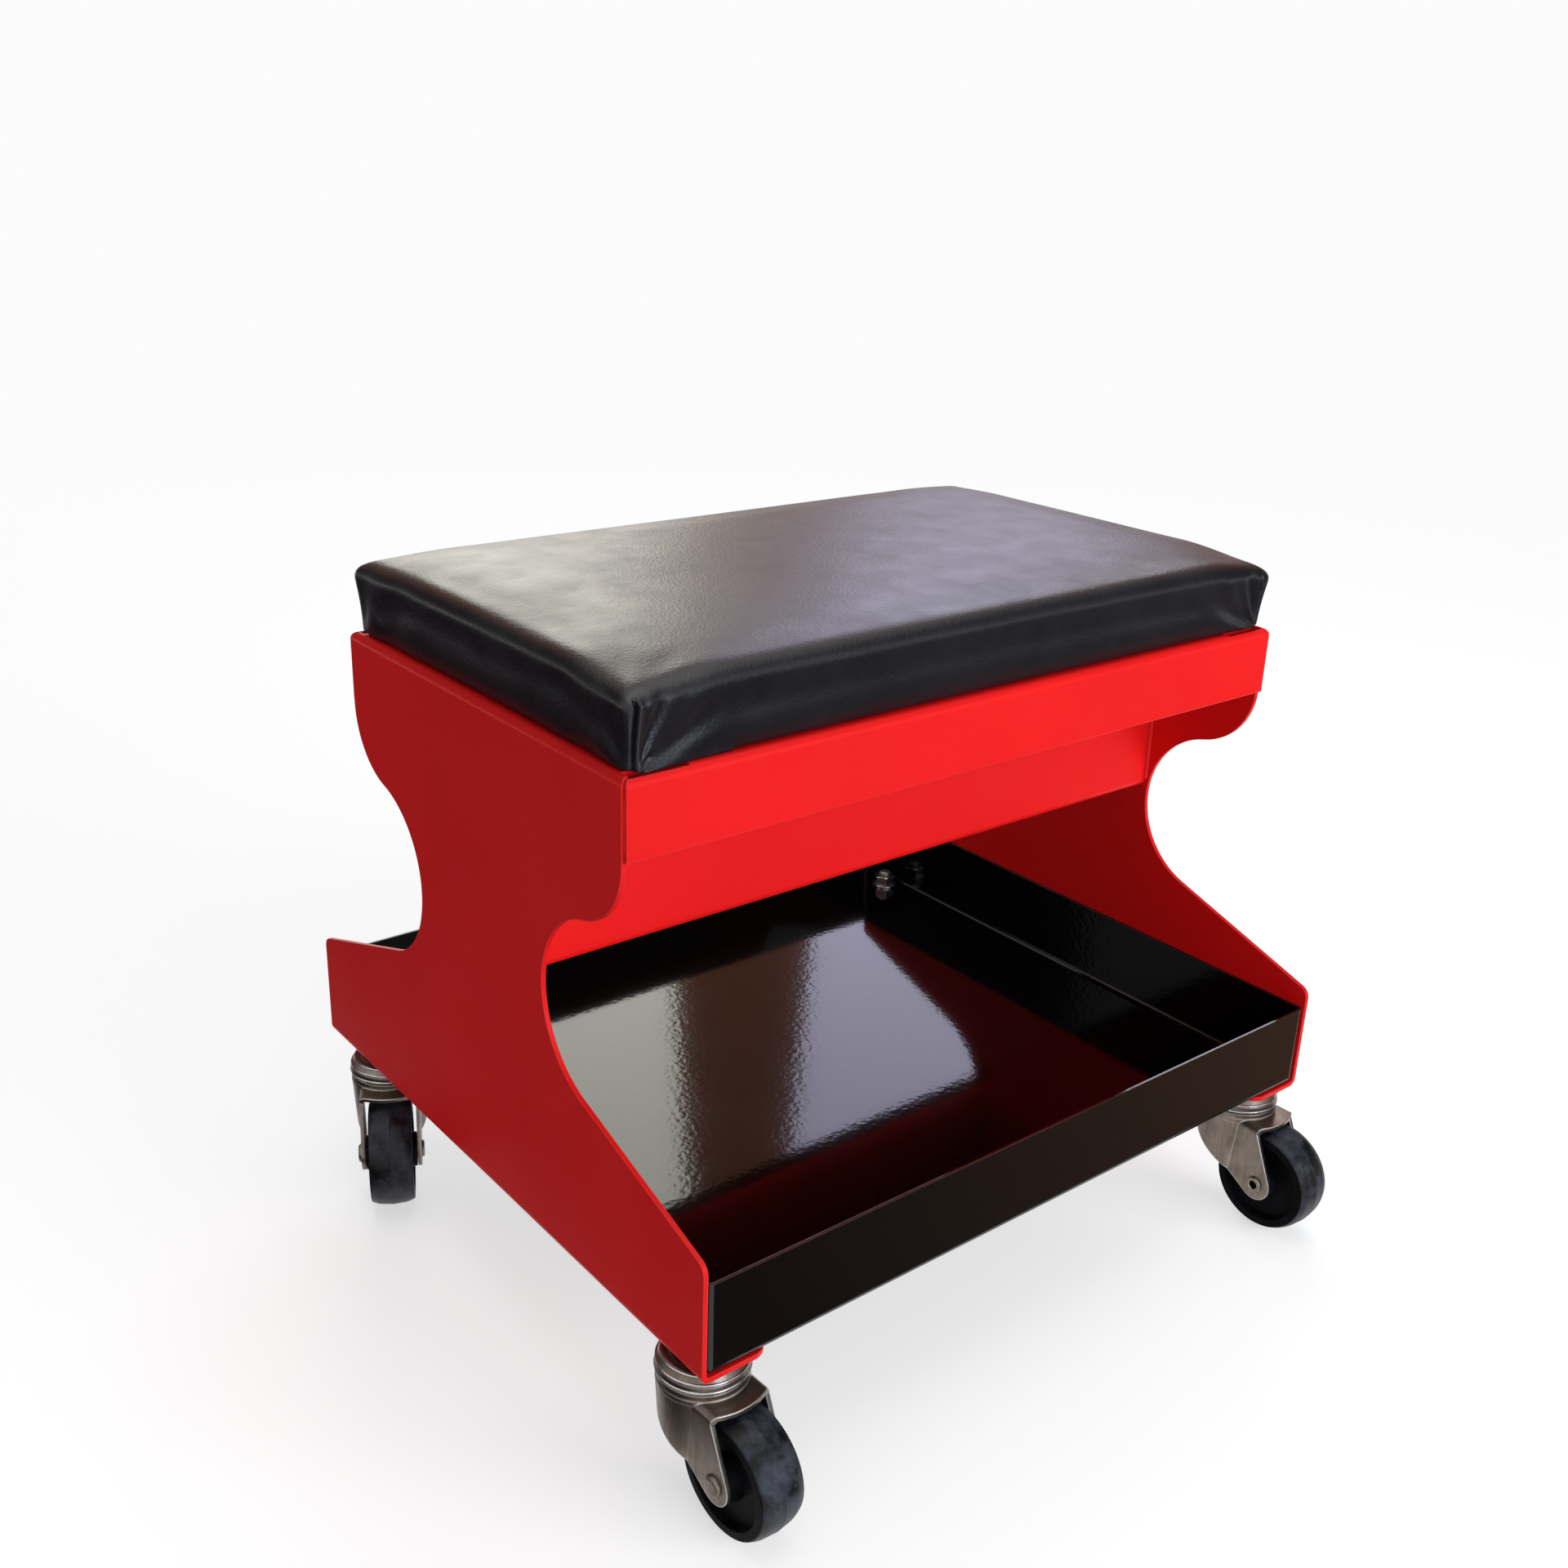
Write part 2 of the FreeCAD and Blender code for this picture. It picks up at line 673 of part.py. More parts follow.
def caster_fork():
    """The stamped fork: dome for the bearing, bell-shaped back and two cheeks."""
    under = yoke_top - yoke_sheet
    shell = yoke_form(yoke_outer, yoke_top, 0).cut(yoke_form(yoke_inner, under, yoke_sheet))
    wide = dome_foot_radius + overrun
    profile = yoke_profile()
    profile.translate(V(0, -wide, 0))
    shell = shell.common(profile.extrude(V(0, 2 * wide, 0)))
    front = block(V(0, -wide, under - yoke_bend), V(2 * yoke_front_reach, wide, yoke_top + overrun))
    shell = shell.cut(front.cut(rod(yoke_front_reach, -caster_height, overrun)))
    shell = shell.cut(rod(dome_hollow_radius, under - overrun, yoke_top + overrun))
    bore = king_pin_radius + swivel_running_gap
    dome = turned([
        (bore, dome_top, 0),
        (dome_radius, dome_top, yoke_bend / 2),
        (dome_neck_radius, dome_neck, 0),
        (dome_ring_radius, dome_neck, yoke_bend / 2),
        (dome_ring_radius, dome_neck - dome_ring_height, yoke_bend / 3),
        (dome_foot_radius, yoke_top, 0),
        (dome_foot_radius, under, 0),
        (dome_hollow_radius, under, 0),
        (dome_hollow_radius, dome_neck - yoke_sheet, 0),
        (dome_radius - yoke_sheet, dome_top - yoke_sheet, 0),
        (bore, dome_top - yoke_sheet, 0),
    ])
    fork = shell.fuse(dome.cut(ball_groove())).removeSplitter()
    axle_hole = Part.makeCylinder(axle_radius, 2 * wide, V(caster_trail, -wide, -axle_drop), V(0, 1, 0))
    return fork.cut(axle_hole)


def on_axle(shape):
    """Lay a shape that was turned about Z onto the caster's axle."""
    shape = shape.copy()
    shape.rotate(V(0, 0, 0), V(1, 0, 0), -90)
    shape.translate(V(caster_trail, 0, -axle_drop))
    return shape


def caster_axle(head_side):
    """The tubular rivet through the cheeks: a round head at one end, a rolled one at the other."""
    low = -yoke_outer - axle_flare_height
    rivet = turned([
        (0, yoke_outer + axle_head_height, 0),
        (axle_head_radius, yoke_outer + axle_head_height, axle_head_height * head_round_share),
        (axle_head_radius, yoke_outer, 0),
        (axle_radius, yoke_outer, 0),
        (axle_radius, -yoke_outer, 0),
        (axle_flare_radius, -yoke_outer, 0),
        (axle_flare_radius, low, axle_flare_height / 2),
        (axle_bore_radius, low, axle_flare_height / 4),
        (axle_bore_radius, low + axle_bore_depth, 0),
        (0, low + axle_bore_depth, 0),
    ])
    if head_side < 0:
        rivet.rotate(V(0, 0, 0), V(1, 0, 0), 180)
    return on_axle(rivet)


def wheel_corners():
    """Half the wheel's section: crowned tread, dished sides and a hub that fills the fork."""
    bore = sleeve_radius + wheel_running_gap
    hub_half = yoke_inner - hub_end_gap
    side = wheel_width / 2
    web = side - wheel_recess
    rim_inner = wheel_radius - wheel_rim_depth
    half = [
        (bore, hub_half, 0),
        (wheel_hub_radius, hub_half, 0),
        (wheel_hub_radius + wheel_recess_draft, web, 0),
        (rim_inner - wheel_recess_draft, web, 0),
        (rim_inner, side, 0),
        (wheel_edge_radius, side, wheel_edge_rounding),
        (wheel_radius - wheel_tread_crown, wheel_shoulder_width / 2, wheel_shoulder_rounding),
    ]
    other = [(radius, -height, rounding) for radius, height, rounding in reversed(half)]
    return half + [(wheel_radius, 0, 0)] + other


def wheel_reach(name, way):
    """How far a caster's wheel reaches along way, a flat unit vector, from the frame's middle."""
    turn = math.radians(rest_turns_deg[name])
    trail = V(math.cos(turn), math.sin(turn), 0)
    axle = V(-trail.y, trail.x, 0)
    section = rounded_face(wheel_corners(), lambda a, b: V(a, 0, b))
    outline = [point for edge in section.Edges for point in edge.discretize(points_per_edge)]
    centre = V(*stems[name], 0).dot(way) + caster_trail * trail.dot(way)
    along, across = abs(trail.dot(way)), abs(axle.dot(way))
    return centre + max(point.x * along + point.z * across for point in outline)


def floor_reach(way):
    """How far the whole seat, with its wheels as they stand, reaches along way."""
    return max(wheel_reach(name, way) for name in stems)


def copies(shape, places):
    """The shape again at each place."""
    shapes = []
    for place in places:
        again = shape.copy()
        again.translate(place)
        shapes.append(again)
    return shapes


def stand(shape, name):
    """Turn a caster's piece to its rest angle and set it under its stem hole."""
    shape = shape.copy()
    shape.rotate(V(0, 0, 0), V(0, 0, 1), rest_turns_deg[name])
    shape.translate(V(*stems[name], 0))
    return shape


# The origin is on the floor, under the middle of the area that the seat covers.
floor_shift = V((floor_reach(V(-1, 0, 0)) - floor_reach(V(1, 0, 0))) / 2,
                (floor_reach(V(0, -1, 0)) - floor_reach(V(0, 1, 0))) / 2,
                caster_height)

panel = side_panel()
save("right_side_panel", panel)
save("left_side_panel", mirrored(panel, V(1, 0, 0)))
apron = rear_apron()
save("rear_apron", apron)
save("front_apron", mirrored(apron, V(0, 1, 0)))
save("rear_stretcher", rear_stretcher(rear_stretcher_bottom))
save("front_stretcher", mirrored(rear_stretcher(front_stretcher_bottom), V(0, 1, 0)))
save("tool_tray", tool_tray())
save("seat_board", seat_board())
save("seat_foam", seat_foam())
save("seat_cover", seat_cover())
save("cover_staples", *cover_staples())

screw_seat = panel_height - panel_sheet - seat_washer_thickness
screw_places = [V(side * x, y, screw_seat) for x, y in seat_screw_places() for side in (-1, 1)]
screw_washer = ring(seat_screw_radius + hole_clearance, seat_washer_radius, 0, seat_washer_thickness)
save("seat_screws", *copies(seat_screw(), screw_places))
save("seat_screw_washers", *copies(screw_washer, screw_places))

stem_places = [V(x, y, tray_floor_top) for x, y in stems.values()]
nut_places = [place + V(0, 0, stem_washer_thickness) for place in stem_places]
stem_washer = ring(stem_radius + hole_clearance, stem_washer_radius, 0, stem_washer_thickness)
save("stem_washers", *copies(stem_washer, stem_places))
save("stem_nuts", *copies(stem_nut(), nut_places))

fork = caster_fork()
wheel = on_axle(turned(wheel_corners()))
race = caster_race()
stem = caster_stem()
balls = caster_balls()
keeper = ring(king_pin_radius, keeper_radius, keeper_bottom, keeper_top)
sleeve = on_axle(ring(axle_radius, sleeve_radius, -yoke_inner, yoke_inner))
for name in stems:
    save(name + "_stem", stand(stem, name))
    save(name + "_race", stand(race, name))
    save(name + "_balls", *[stand(ball, name) for ball in balls])
    save(name + "_keeper", stand(keeper, name))
    save(name + "_fork", stand(fork, name))
    save(name + "_axle", stand(caster_axle(rivet_head_sides[name]), name))
    save(name + "_sleeve", stand(sleeve, name))
    save(name + "_wheel", stand(wheel, name))

print("floor shift", floor_shift)
for name in stems:
    turn = math.radians(rest_turns_deg[name])
    stem_place = V(*stems[name], 0) + floor_shift
    axle_place = stem_place + V(math.cos(turn), math.sin(turn), 0) * caster_trail - V(0, 0, axle_drop)
    print(name, "stem", stem_place, "axle", axle_place)
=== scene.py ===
import logging
import math
from dataclasses import dataclass, field
from enum import Enum
from typing import Iterable

import bmesh
import bpy
from mathutils import Matrix, Vector


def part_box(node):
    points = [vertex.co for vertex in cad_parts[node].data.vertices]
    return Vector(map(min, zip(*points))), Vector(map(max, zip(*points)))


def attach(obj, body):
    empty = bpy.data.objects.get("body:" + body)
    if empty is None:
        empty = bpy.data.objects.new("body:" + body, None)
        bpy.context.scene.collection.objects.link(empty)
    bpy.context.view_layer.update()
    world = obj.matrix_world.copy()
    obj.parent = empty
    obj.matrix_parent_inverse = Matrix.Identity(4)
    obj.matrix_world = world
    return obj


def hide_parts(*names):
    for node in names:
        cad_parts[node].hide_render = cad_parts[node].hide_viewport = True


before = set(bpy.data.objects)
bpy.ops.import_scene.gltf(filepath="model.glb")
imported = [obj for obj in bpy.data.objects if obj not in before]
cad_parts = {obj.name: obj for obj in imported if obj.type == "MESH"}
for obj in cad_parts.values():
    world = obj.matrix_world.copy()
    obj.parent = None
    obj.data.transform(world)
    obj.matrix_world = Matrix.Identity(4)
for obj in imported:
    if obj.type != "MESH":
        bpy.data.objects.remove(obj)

Socket = bpy.types.NodeSocket
Piece = bpy.types.Object
Colour = tuple[float, float, float, float]
MM = 0.001
log = logging.getLogger("creeper_seat")


class Corner(Enum):
    """The four corners of the seat, each with its name and the turn at which its caster stands."""

    FRONT_LEFT = ("front_left", -87.5)
    FRONT_RIGHT = ("front_right", -88.5)
    REAR_LEFT = ("rear_left", -117.0)
    REAR_RIGHT = ("rear_right", 63.0)

    @property
    def label(self) -> str:
        """The corner's name, which its nodes and bodies start with."""
        return self.value[0]

    @property
    def axle(self) -> tuple[float, float, float]:
        """The direction of the caster's axle as it stands."""
        turn = math.radians(self.value[1])
        return -math.sin(turn), math.cos(turn), 0.0


class Slot(Enum):
    """The record's material slots, named when new pieces are added."""

    RED_PAINT = "red_paint"
    VINYL = "vinyl"
    ZINC = "zinc"


class Nodes:
    """A tree of shader nodes, with short ways to add and join them."""

    def __init__(self, tree: bpy.types.NodeTree) -> None:
        """Take over a tree and clear it."""
        self.tree = tree
        self.tree.nodes.clear()

    def node(self, kind: str, **values: object) -> bpy.types.Node:
        """Add a node of one kind, with some of its properties set."""
        made = self.tree.nodes.new(kind)
        for key, value in values.items():
            setattr(made, key, value)
        return made

    def join(self, source: Socket, target: Socket) -> None:
        """Link two sockets."""
        self.tree.links.new(source, target)

    def feed(self, target: Socket, value: object) -> None:
        """Give an input a linked socket or a plain value."""
        if isinstance(value, Socket):
            self.join(value, target)
        else:
            target.default_value = value

    def span(self, value: Socket, low: float, high: float, to_low: float, to_high: float) -> Socket:
        """Map the range from low to high onto the one from to_low to to_high, without leaving it."""
        made = self.node("ShaderNodeMapRange", clamp=True)
        self.join(value, made.inputs["Value"])
        for name, number in (("From Min", low), ("From Max", high), ("To Min", to_low), ("To Max", to_high)):
            made.inputs[name].default_value = number
        return made.outputs["Result"]

    def maths(self, operation: str, first: object, second: object) -> Socket:
        """The result of one operation on two numbers or sockets."""
        made = self.node("ShaderNodeMath", operation=operation)
        self.feed(made.inputs[0], first)
        self.feed(made.inputs[1], second)
        return made.outputs[0]

    def seen_directly(self) -> Socket:
        """1 for rays from the camera, through glass or off a shiny surface, and 0 for other light."""
        path = self.node("ShaderNodeLightPath")
        mirrored = self.maths("MAXIMUM", path.outputs["Is Camera Ray"], path.outputs["Is Glossy Ray"])
        return self.maths("MAXIMUM", mirrored, path.outputs["Is Transmission Ray"])


class Graph(Nodes):
    """The nodes of one material, round its principled shader."""

    def __init__(self, name: str) -> None:
        """Start a material that has only its shader."""
        self.material = bpy.data.materials.new(name)
        self.material.use_nodes = True
        super().__init__(self.material.node_tree)
        self.shader = self.node("ShaderNodeBsdfPrincipled")
        output = self.node("ShaderNodeOutputMaterial")
        self.join(self.shader.outputs["BSDF"], output.inputs["Surface"])
        self.place = self.node("ShaderNodeTexCoord").outputs["Object"]

    def put(self, name: str, value: object) -> None:
        """Give one of the shader's own inputs a linked socket or a plain value."""
        self.feed(self.shader.inputs[name], value)

    def stretched(self, scale: tuple[float, float, float]) -> Socket:
        """Object coordinates scaled apart along X, Y and Z."""
        mapping = self.node("ShaderNodeMapping")
        mapping.inputs["Scale"].default_value = scale
        self.join(self.place, mapping.inputs["Vector"])
        return mapping.outputs["Vector"]

    def noise(self, per_metre: float, detail: float = 2.0, rough: float = 0.5,
              place: Socket | None = None) -> Socket:
        """Cloudy noise from 0 to 1, with per_metre clouds in a metre and detail finer levels on top."""
        made = self.node("ShaderNodeTexNoise")
        made.inputs["Scale"].default_value = per_metre
        made.inputs["Detail"].default_value = detail
        made.inputs["Roughness"].default_value = rough
        self.join(place or self.place, made.inputs["Vector"])
        return made.outputs["Fac"]

    def cells(self, per_metre: float) -> Socket:
        """Distance to the nearest of many scattered points, near 0 at a point."""
        made = self.node("ShaderNodeTexVoronoi", feature="F1")
        made.inputs["Scale"].default_value = per_metre
        self.join(self.place, made.inputs["Vector"])
        return made.outputs["Distance"]

    def mix(self, share: Socket, first: object, second: object) -> Socket:
        """Mix two colours or colour sockets, by a share of the second."""
        made = self.node("ShaderNodeMix", data_type="RGBA")
        self.join(share, made.inputs[0])
        self.feed(made.inputs[6], first)
        self.feed(made.inputs[7], second)
        return made.outputs[2]

    def vector_maths(self, operation: str, first: object, second: object = (0.0, 0.0, 0.0)) -> Socket:
        """The result of one operation on vectors: a number for a length or a dot product, else a vector."""
        made = self.node("ShaderNodeVectorMath", operation=operation)
        self.feed(made.inputs[0], first)
        self.feed(made.inputs[1], second)
        return made.outputs["Value" if operation in ("LENGTH", "DOT_PRODUCT") else "Vector"]

    def soft_edges(self, radius: float) -> Socket:
        """Normals that are rounded by a radius in metres near sharp edges."""
        made = self.node("ShaderNodeBevel", samples=4)
        made.inputs["Radius"].default_value = radius
        return made.outputs["Normal"]

    def edge_mask(self, radius: float) -> Socket:
        """1 on a sharp edge and 0 where the surface is further from it than the radius."""
        rounded = self.soft_edges(radius)
        flat = self.node("ShaderNodeNewGeometry").outputs["Normal"]
        alike = self.vector_maths("DOT_PRODUCT", rounded, flat)
        return self.span(alike, 0.80, 0.995, 1.0, 0.0)

    def bump(self, height: Socket, depth: float, strength: float, normal: Socket | None = None) -> Socket:
        """A normal bumped by a height from 0 to 1, which is depth metres deep, on top of another one."""
        made = self.node("ShaderNodeBump")
        made.inputs["Distance"].default_value = depth
        made.inputs["Strength"].default_value = strength
        self.join(height, made.inputs["Height"])
        if normal is not None:
            self.join(normal, made.inputs["Normal"])
        return made.outputs["Normal"]


def colour(red: float, green: float, blue: float) -> Colour:
    """An opaque colour, as a node takes it."""
    return red, green, blue, 1.0


@dataclass(frozen=True)
class Finish:
    """A finish that is painted once and shared by every piece that has it."""

    name: str

    def material(self) -> bpy.types.Material:
        """The finish's material, made at its first use."""
        known = bpy.data.materials.get(self.name)
        if known is not None:
            return known
        graph = Graph(self.name)
        self.paint(graph)
        return graph.material

    def cover(self, piece: Piece) -> None:
        """Give the whole piece this finish."""
        piece.data.materials.clear()
        piece.data.materials.append(self.material())

    def paint(self, graph: Graph) -> None:
        """Wire up the finish."""
        raise NotImplementedError


@dataclass(frozen=True)
class PowderCoat(Finish):
    """Baked powder paint: gloss over a light orange peel, paler on its edges, partly where it runs thin and
    partly as a painted highlight.
    """

    body: Colour
    edge: Colour
    roughness: float
    gloss: float
    peel_depth: float
    peel_per_metre: float
    edge_reach: float = 0.9 * MM

    def paint(self, graph: Graph) -> None:
        """Wire up the finish."""
        clouds = graph.noise(7.0, detail=3.0)
        darker = tuple(0.9 * part for part in self.body[:3]) + (1.0,)
        ground = graph.mix(graph.span(clouds, 0.3, 0.7, 0.0, 1.0), self.body, darker)
        # The paler edge colour is partly thin paint over edges and partly a painted highlight along them.
        edge_wear_and_highlight = graph.maths("MULTIPLY", graph.edge_mask(self.edge_reach), 0.55)
        graph.put("Base Color", graph.mix(edge_wear_and_highlight, ground, self.edge))
        smears = graph.noise(24.0, detail=1.0)
        rough = graph.span(smears, 0.2, 0.8, self.roughness * 0.9, self.roughness * 1.15)
        graph.put("Roughness", rough)
        graph.put("Specular IOR Level", self.gloss)
        peel = graph.noise(self.peel_per_metre, detail=1.0)
        normal = graph.bump(peel, self.peel_depth, 0.7, graph.soft_edges(self.edge_reach))
        graph.put("Normal", normal)


@dataclass(frozen=True)
class Vinyl(Finish):
    """Soft black vinyl with a fine leather grain and a broad dull shine."""

    body: Colour
    roughness: float
    shine: float
    grain_per_metre: float
    grain_depth: float

    def paint(self, graph: Graph) -> None:
        """Wire up the finish."""
        clouds = graph.noise(16.0, detail=4.0)
        worn = tuple(1.7 * part for part in self.body[:3]) + (1.0,)
        tint = graph.mix(graph.span(clouds, 0.35, 0.75, 0.0, 1.0), self.body, worn)
        graph.put("Base Color", tint)
        patches = graph.noise(42.0, detail=5.0, rough=0.6)
        rough = graph.span(patches, 0.3, 0.7, self.roughness * 0.88, self.roughness * 1.12)
        graph.put("Roughness", rough)
        graph.put("Specular IOR Level", self.shine)
        pebbles = graph.cells(self.grain_per_metre)
        creases = graph.noise(self.grain_per_metre * 0.45, detail=3.0)
        grain = graph.maths("ADD", pebbles, creases)
        graph.put("Normal", graph.bump(grain, self.grain_depth, 0.55))


@dataclass(frozen=True)
class PlatedSteel(Finish):
    """Zinc-plated or polished steel, streaked by rolling, brighter on its edges, partly bare cut steel and
    partly a painted highlight.
    """

    body: Colour
    dull: Colour
    edge: Colour
    roughness: float
    grain_depth: float = 0.012 * MM
    edge_reach: float = 1.1 * MM

    def paint(self, graph: Graph) -> None:
        """Wire up the finish."""
        clouds = graph.noise(85.0, detail=4.0, rough=0.6)
        streaks = graph.noise(1.0, detail=4.0, place=graph.stretched((700.0, 700.0, 45.0)))
        wear = graph.maths("ADD", graph.maths("MULTIPLY", clouds, 0.6), graph.maths("MULTIPLY", streaks, 0.4))
        ground = graph.mix(graph.span(wear, 0.36, 0.64, 0.0, 1.0), self.body, self.dull)
        # Painted highlight: the near-white edge colour along sharp edges, partly the bare cut steel.
        edge_wear_and_highlight = graph.edge_mask(self.edge_reach)
        graph.put("Base Color", graph.mix(edge_wear_and_highlight, ground, self.edge))
        graph.put("Metallic", 1.0)
        rough = graph.span(wear, 0.3, 0.7, self.roughness * 0.8, self.roughness * 1.3)
        graph.put("Roughness", rough)
        grain = graph.noise(900.0, detail=2.0)
        normal = graph.bump(grain, self.grain_depth, 0.6, graph.soft_edges(self.edge_reach))
        graph.put("Normal", normal)


@dataclass(frozen=True)
class HardRubber(Finish):
    """Hard black rubber of one wheel: scuffed where it rolls, its pale blue bloom partly a painted sheen,
    with the mould's line round its middle.
    """

    middle: tuple[float, float, float]
    axle: tuple[float, float, float]
    body: Colour = (0.003, 0.003, 0.0036, 1.0)
    bloom_and_sheen: Colour = (0.058, 0.065, 0.092, 1.0)
    roughness: float = 0.36
    tread_start: float = 28.6 * MM
    tread_radius: float = 29.6 * MM
    scuffs_per_metre: float = 75.0
    line_half_width: float = 0.4 * MM
    line_height: float = 0.12 * MM

    def paint(self, graph: Graph) -> None:
        """Wire up the finish."""
        away = graph.vector_maths("SUBTRACT", graph.place, self.middle)
        across = graph.vector_maths("DOT_PRODUCT", away, self.axle)
        radius = graph.vector_maths("LENGTH", graph.vector_maths("CROSS_PRODUCT", away, self.axle))
        tread = graph.span(radius, self.tread_start, self.tread_radius, 0.0, 1.0)
        scuffs = graph.noise(self.scuffs_per_metre, detail=7.0, rough=0.72)
        rubbed = graph.span(tread, 0.0, 1.0, 0.12, 1.0)
        share = graph.maths("MULTIPLY", graph.span(scuffs, 0.43, 0.76, 0.0, 1.0), rubbed)
        # The bluish bloom colour is partly real scuffing and partly a painted sheen on the tread.
        graph.put("Base Color", graph.mix(share, self.body, self.bloom_and_sheen))
        rough = graph.span(scuffs, 0.3, 0.7, self.roughness * 0.8, self.roughness * 1.5)
        graph.put("Roughness", rough)
        graph.put("Specular IOR Level", graph.span(tread, 0.0, 1.0, 0.03, 0.26))
        line = graph.span(graph.maths("ABSOLUTE", across, 0.0), 0.0, self.line_half_width, 1.0, 0.0)
        ridge = graph.bump(line, self.line_height, 1.0, graph.soft_edges(0.5 * MM))
        grain = graph.bump(graph.noise(1300.0, detail=3.0), 0.02 * MM, 0.5, ridge)
        graph.put("Normal", grain)


@dataclass(frozen=True)
class BirchPly(Finish):
    """The bare face of a birch plywood board, its grain along X."""

    pale: Colour
    dark: Colour

    def paint(self, graph: Graph) -> None:
        """Wire up the finish."""
        along = graph.stretched((3.0, 90.0, 90.0))
        grain = graph.noise(1.0, detail=7.0, rough=0.65, place=along)
        tint = graph.mix(graph.span(grain, 0.3, 0.75, 0.0, 1.0), self.pale, self.dark)
        graph.put("Base Color", tint)
        graph.put("Roughness", graph.span(grain, 0.2, 0.8, 0.55, 0.8))
        graph.put("Normal", graph.bump(grain, 0.08 * MM, 0.5))


@dataclass(frozen=True)
class PaleFloor(Finish):
    """A plain pale floor that melts into the backdrop far away but keeps the object's shadow."""

    bounce: float = 0.62
    own_light: float = 0.56
    shade: float = 0.62
    fade_start: float = 0.8
    fade_end: float = 2.4
    backdrop: float = 0.97

    def paint(self, graph: Graph) -> None:
        """Wire up the finish."""
        seen = graph.seen_directly()
        reach = graph.vector_maths("LENGTH", graph.place)
        near = graph.span(reach, self.fade_start, self.fade_end, 1.0, 0.0)
        shaded = graph.maths("MULTIPLY", near, self.shade)
        bounce = colour(self.bounce, self.bounce, self.bounce)
        graph.put("Base Color", graph.mix(seen, bounce, shaded))
        glow = graph.span(reach, self.fade_start, self.fade_end, self.own_light, self.backdrop)
        graph.put("Emission Strength", graph.maths("MULTIPLY", seen, glow))
        graph.put("Emission Color", colour(1.0, 1.0, 1.0))
        graph.put("Roughness", 1.0)
        graph.put("Specular IOR Level", 0.0)


@dataclass(frozen=True)
class GlowingReflectionCard(Finish):
    """A sheet that glows in its own colour, changing across X, as a painted reflection for shiny surfaces to
    show.
    """

    left: Colour
    right: Colour
    change_start: float = -0.1
    change_end: float = 0.5

    def paint(self, graph: Graph) -> None:
        """Wire up the finish."""
        graph.put("Base Color", colour(0.0, 0.0, 0.0))
        graph.put("Specular IOR Level", 0.0)
        across = graph.vector_maths("DOT_PRODUCT", graph.place, (1.0, 0.0, 0.0))
        share = graph.span(across, self.change_start, self.change_end, 0.0, 1.0)
        # Painted reflection: this glow is what shiny surfaces reflect in place of a room.
        graph.put("Emission Color", graph.mix(share, self.left, self.right))
        graph.put("Emission Strength", 1.0)


# The edge colours below are partly wear or bare edges and partly a painted highlight along the edges.
RED = PowderCoat("red_powder_coat", colour(0.82, 0.009, 0.009), colour(0.88, 0.12, 0.10),
                 roughness=0.32, gloss=0.2, peel_depth=0.03 * MM, peel_per_metre=330.0)
BLACK = PowderCoat("black_powder_coat", colour(0.0024, 0.002, 0.002), colour(0.06, 0.05, 0.045),
                   roughness=0.07, gloss=0.5, peel_depth=0.045 * MM, peel_per_metre=300.0)
VINYL = Vinyl("black_vinyl", colour(0.005, 0.005, 0.0065), roughness=0.36, shine=0.5,
              grain_per_metre=640.0, grain_depth=0.13 * MM)
# Painted reflection: the zinc plate's body and dull colours are darkened and browned to stand in for the dark
# room it reflects.
ZINC = PlatedSteel("zinc_plate", colour(0.26, 0.22, 0.185), colour(0.17, 0.135, 0.105),
                   colour(0.90, 0.90, 0.88), roughness=0.36)
ROLLED = PlatedSteel("rolled_zinc_lip", colour(0.64, 0.67, 0.72), colour(0.42, 0.40, 0.38),
                     colour(0.9, 0.9, 0.9), roughness=0.20, edge_reach=0.4 * MM)
BRIGHT = PlatedSteel("bright_steel", colour(0.72, 0.72, 0.73), colour(0.6, 0.6, 0.61),
                     colour(0.9, 0.9, 0.9), roughness=0.10, edge_reach=0.4 * MM)
PLY = BirchPly("birch_ply", colour(0.58, 0.40, 0.23), colour(0.40, 0.25, 0.13))


def mesh_object(name: str, points: Iterable[Vector], faces: Iterable[tuple[int, ...]]) -> Piece:
    """Make a smooth mesh object in the scene.

    Args:
        name: The object's name.
        points: The vertices, in metres in the row frame.
        faces: The faces, as numbers of vertices.

    Returns:
        The object.
    """
    mesh = bpy.data.meshes.new(name)
    mesh.from_pydata([tuple(point) for point in points], [], list(faces))
    mesh.shade_smooth()
    mesh.validate()
    made = bpy.data.objects.new(name, mesh)
    bpy.context.scene.collection.objects.link(made)
    return made


def ring(middle: Vector, radius: float, count: int) -> list[Vector]:
    """Points evenly round a level circle, anticlockwise as seen from above."""
    turns = [2 * math.pi * step / count for step in range(count)]
    return [middle + Vector((radius * math.cos(turn), radius * math.sin(turn), 0.0)) for turn in turns]


def skin_faces(rings: int, count: int, start: int = 0, looped: bool = False) -> list[tuple[int, ...]]:
    """Faces of a closed skin over a row of rings of points.

    Args:
        rings: How many rings there are.
        count: How many points each ring has, all wound the same way.
        start: The number of the first ring's first point.
        looped: Whether the last ring joins the first one. If not, both ends get a cap.

    Returns:
        The faces, as numbers of vertices.
    """
    faces = []
    for level in range(rings if looped else rings - 1):
        a, b = start + level * count, start + (level + 1) % rings * count
        for side in range(count):
            after = (side + 1) % count
            faces.append((a + side, a + after, b + after, b + side))
    if not looped:
        last = start + (rings - 1) * count
        faces += [tuple(reversed(range(start, start + count))), tuple(range(last, last + count))]
    return faces


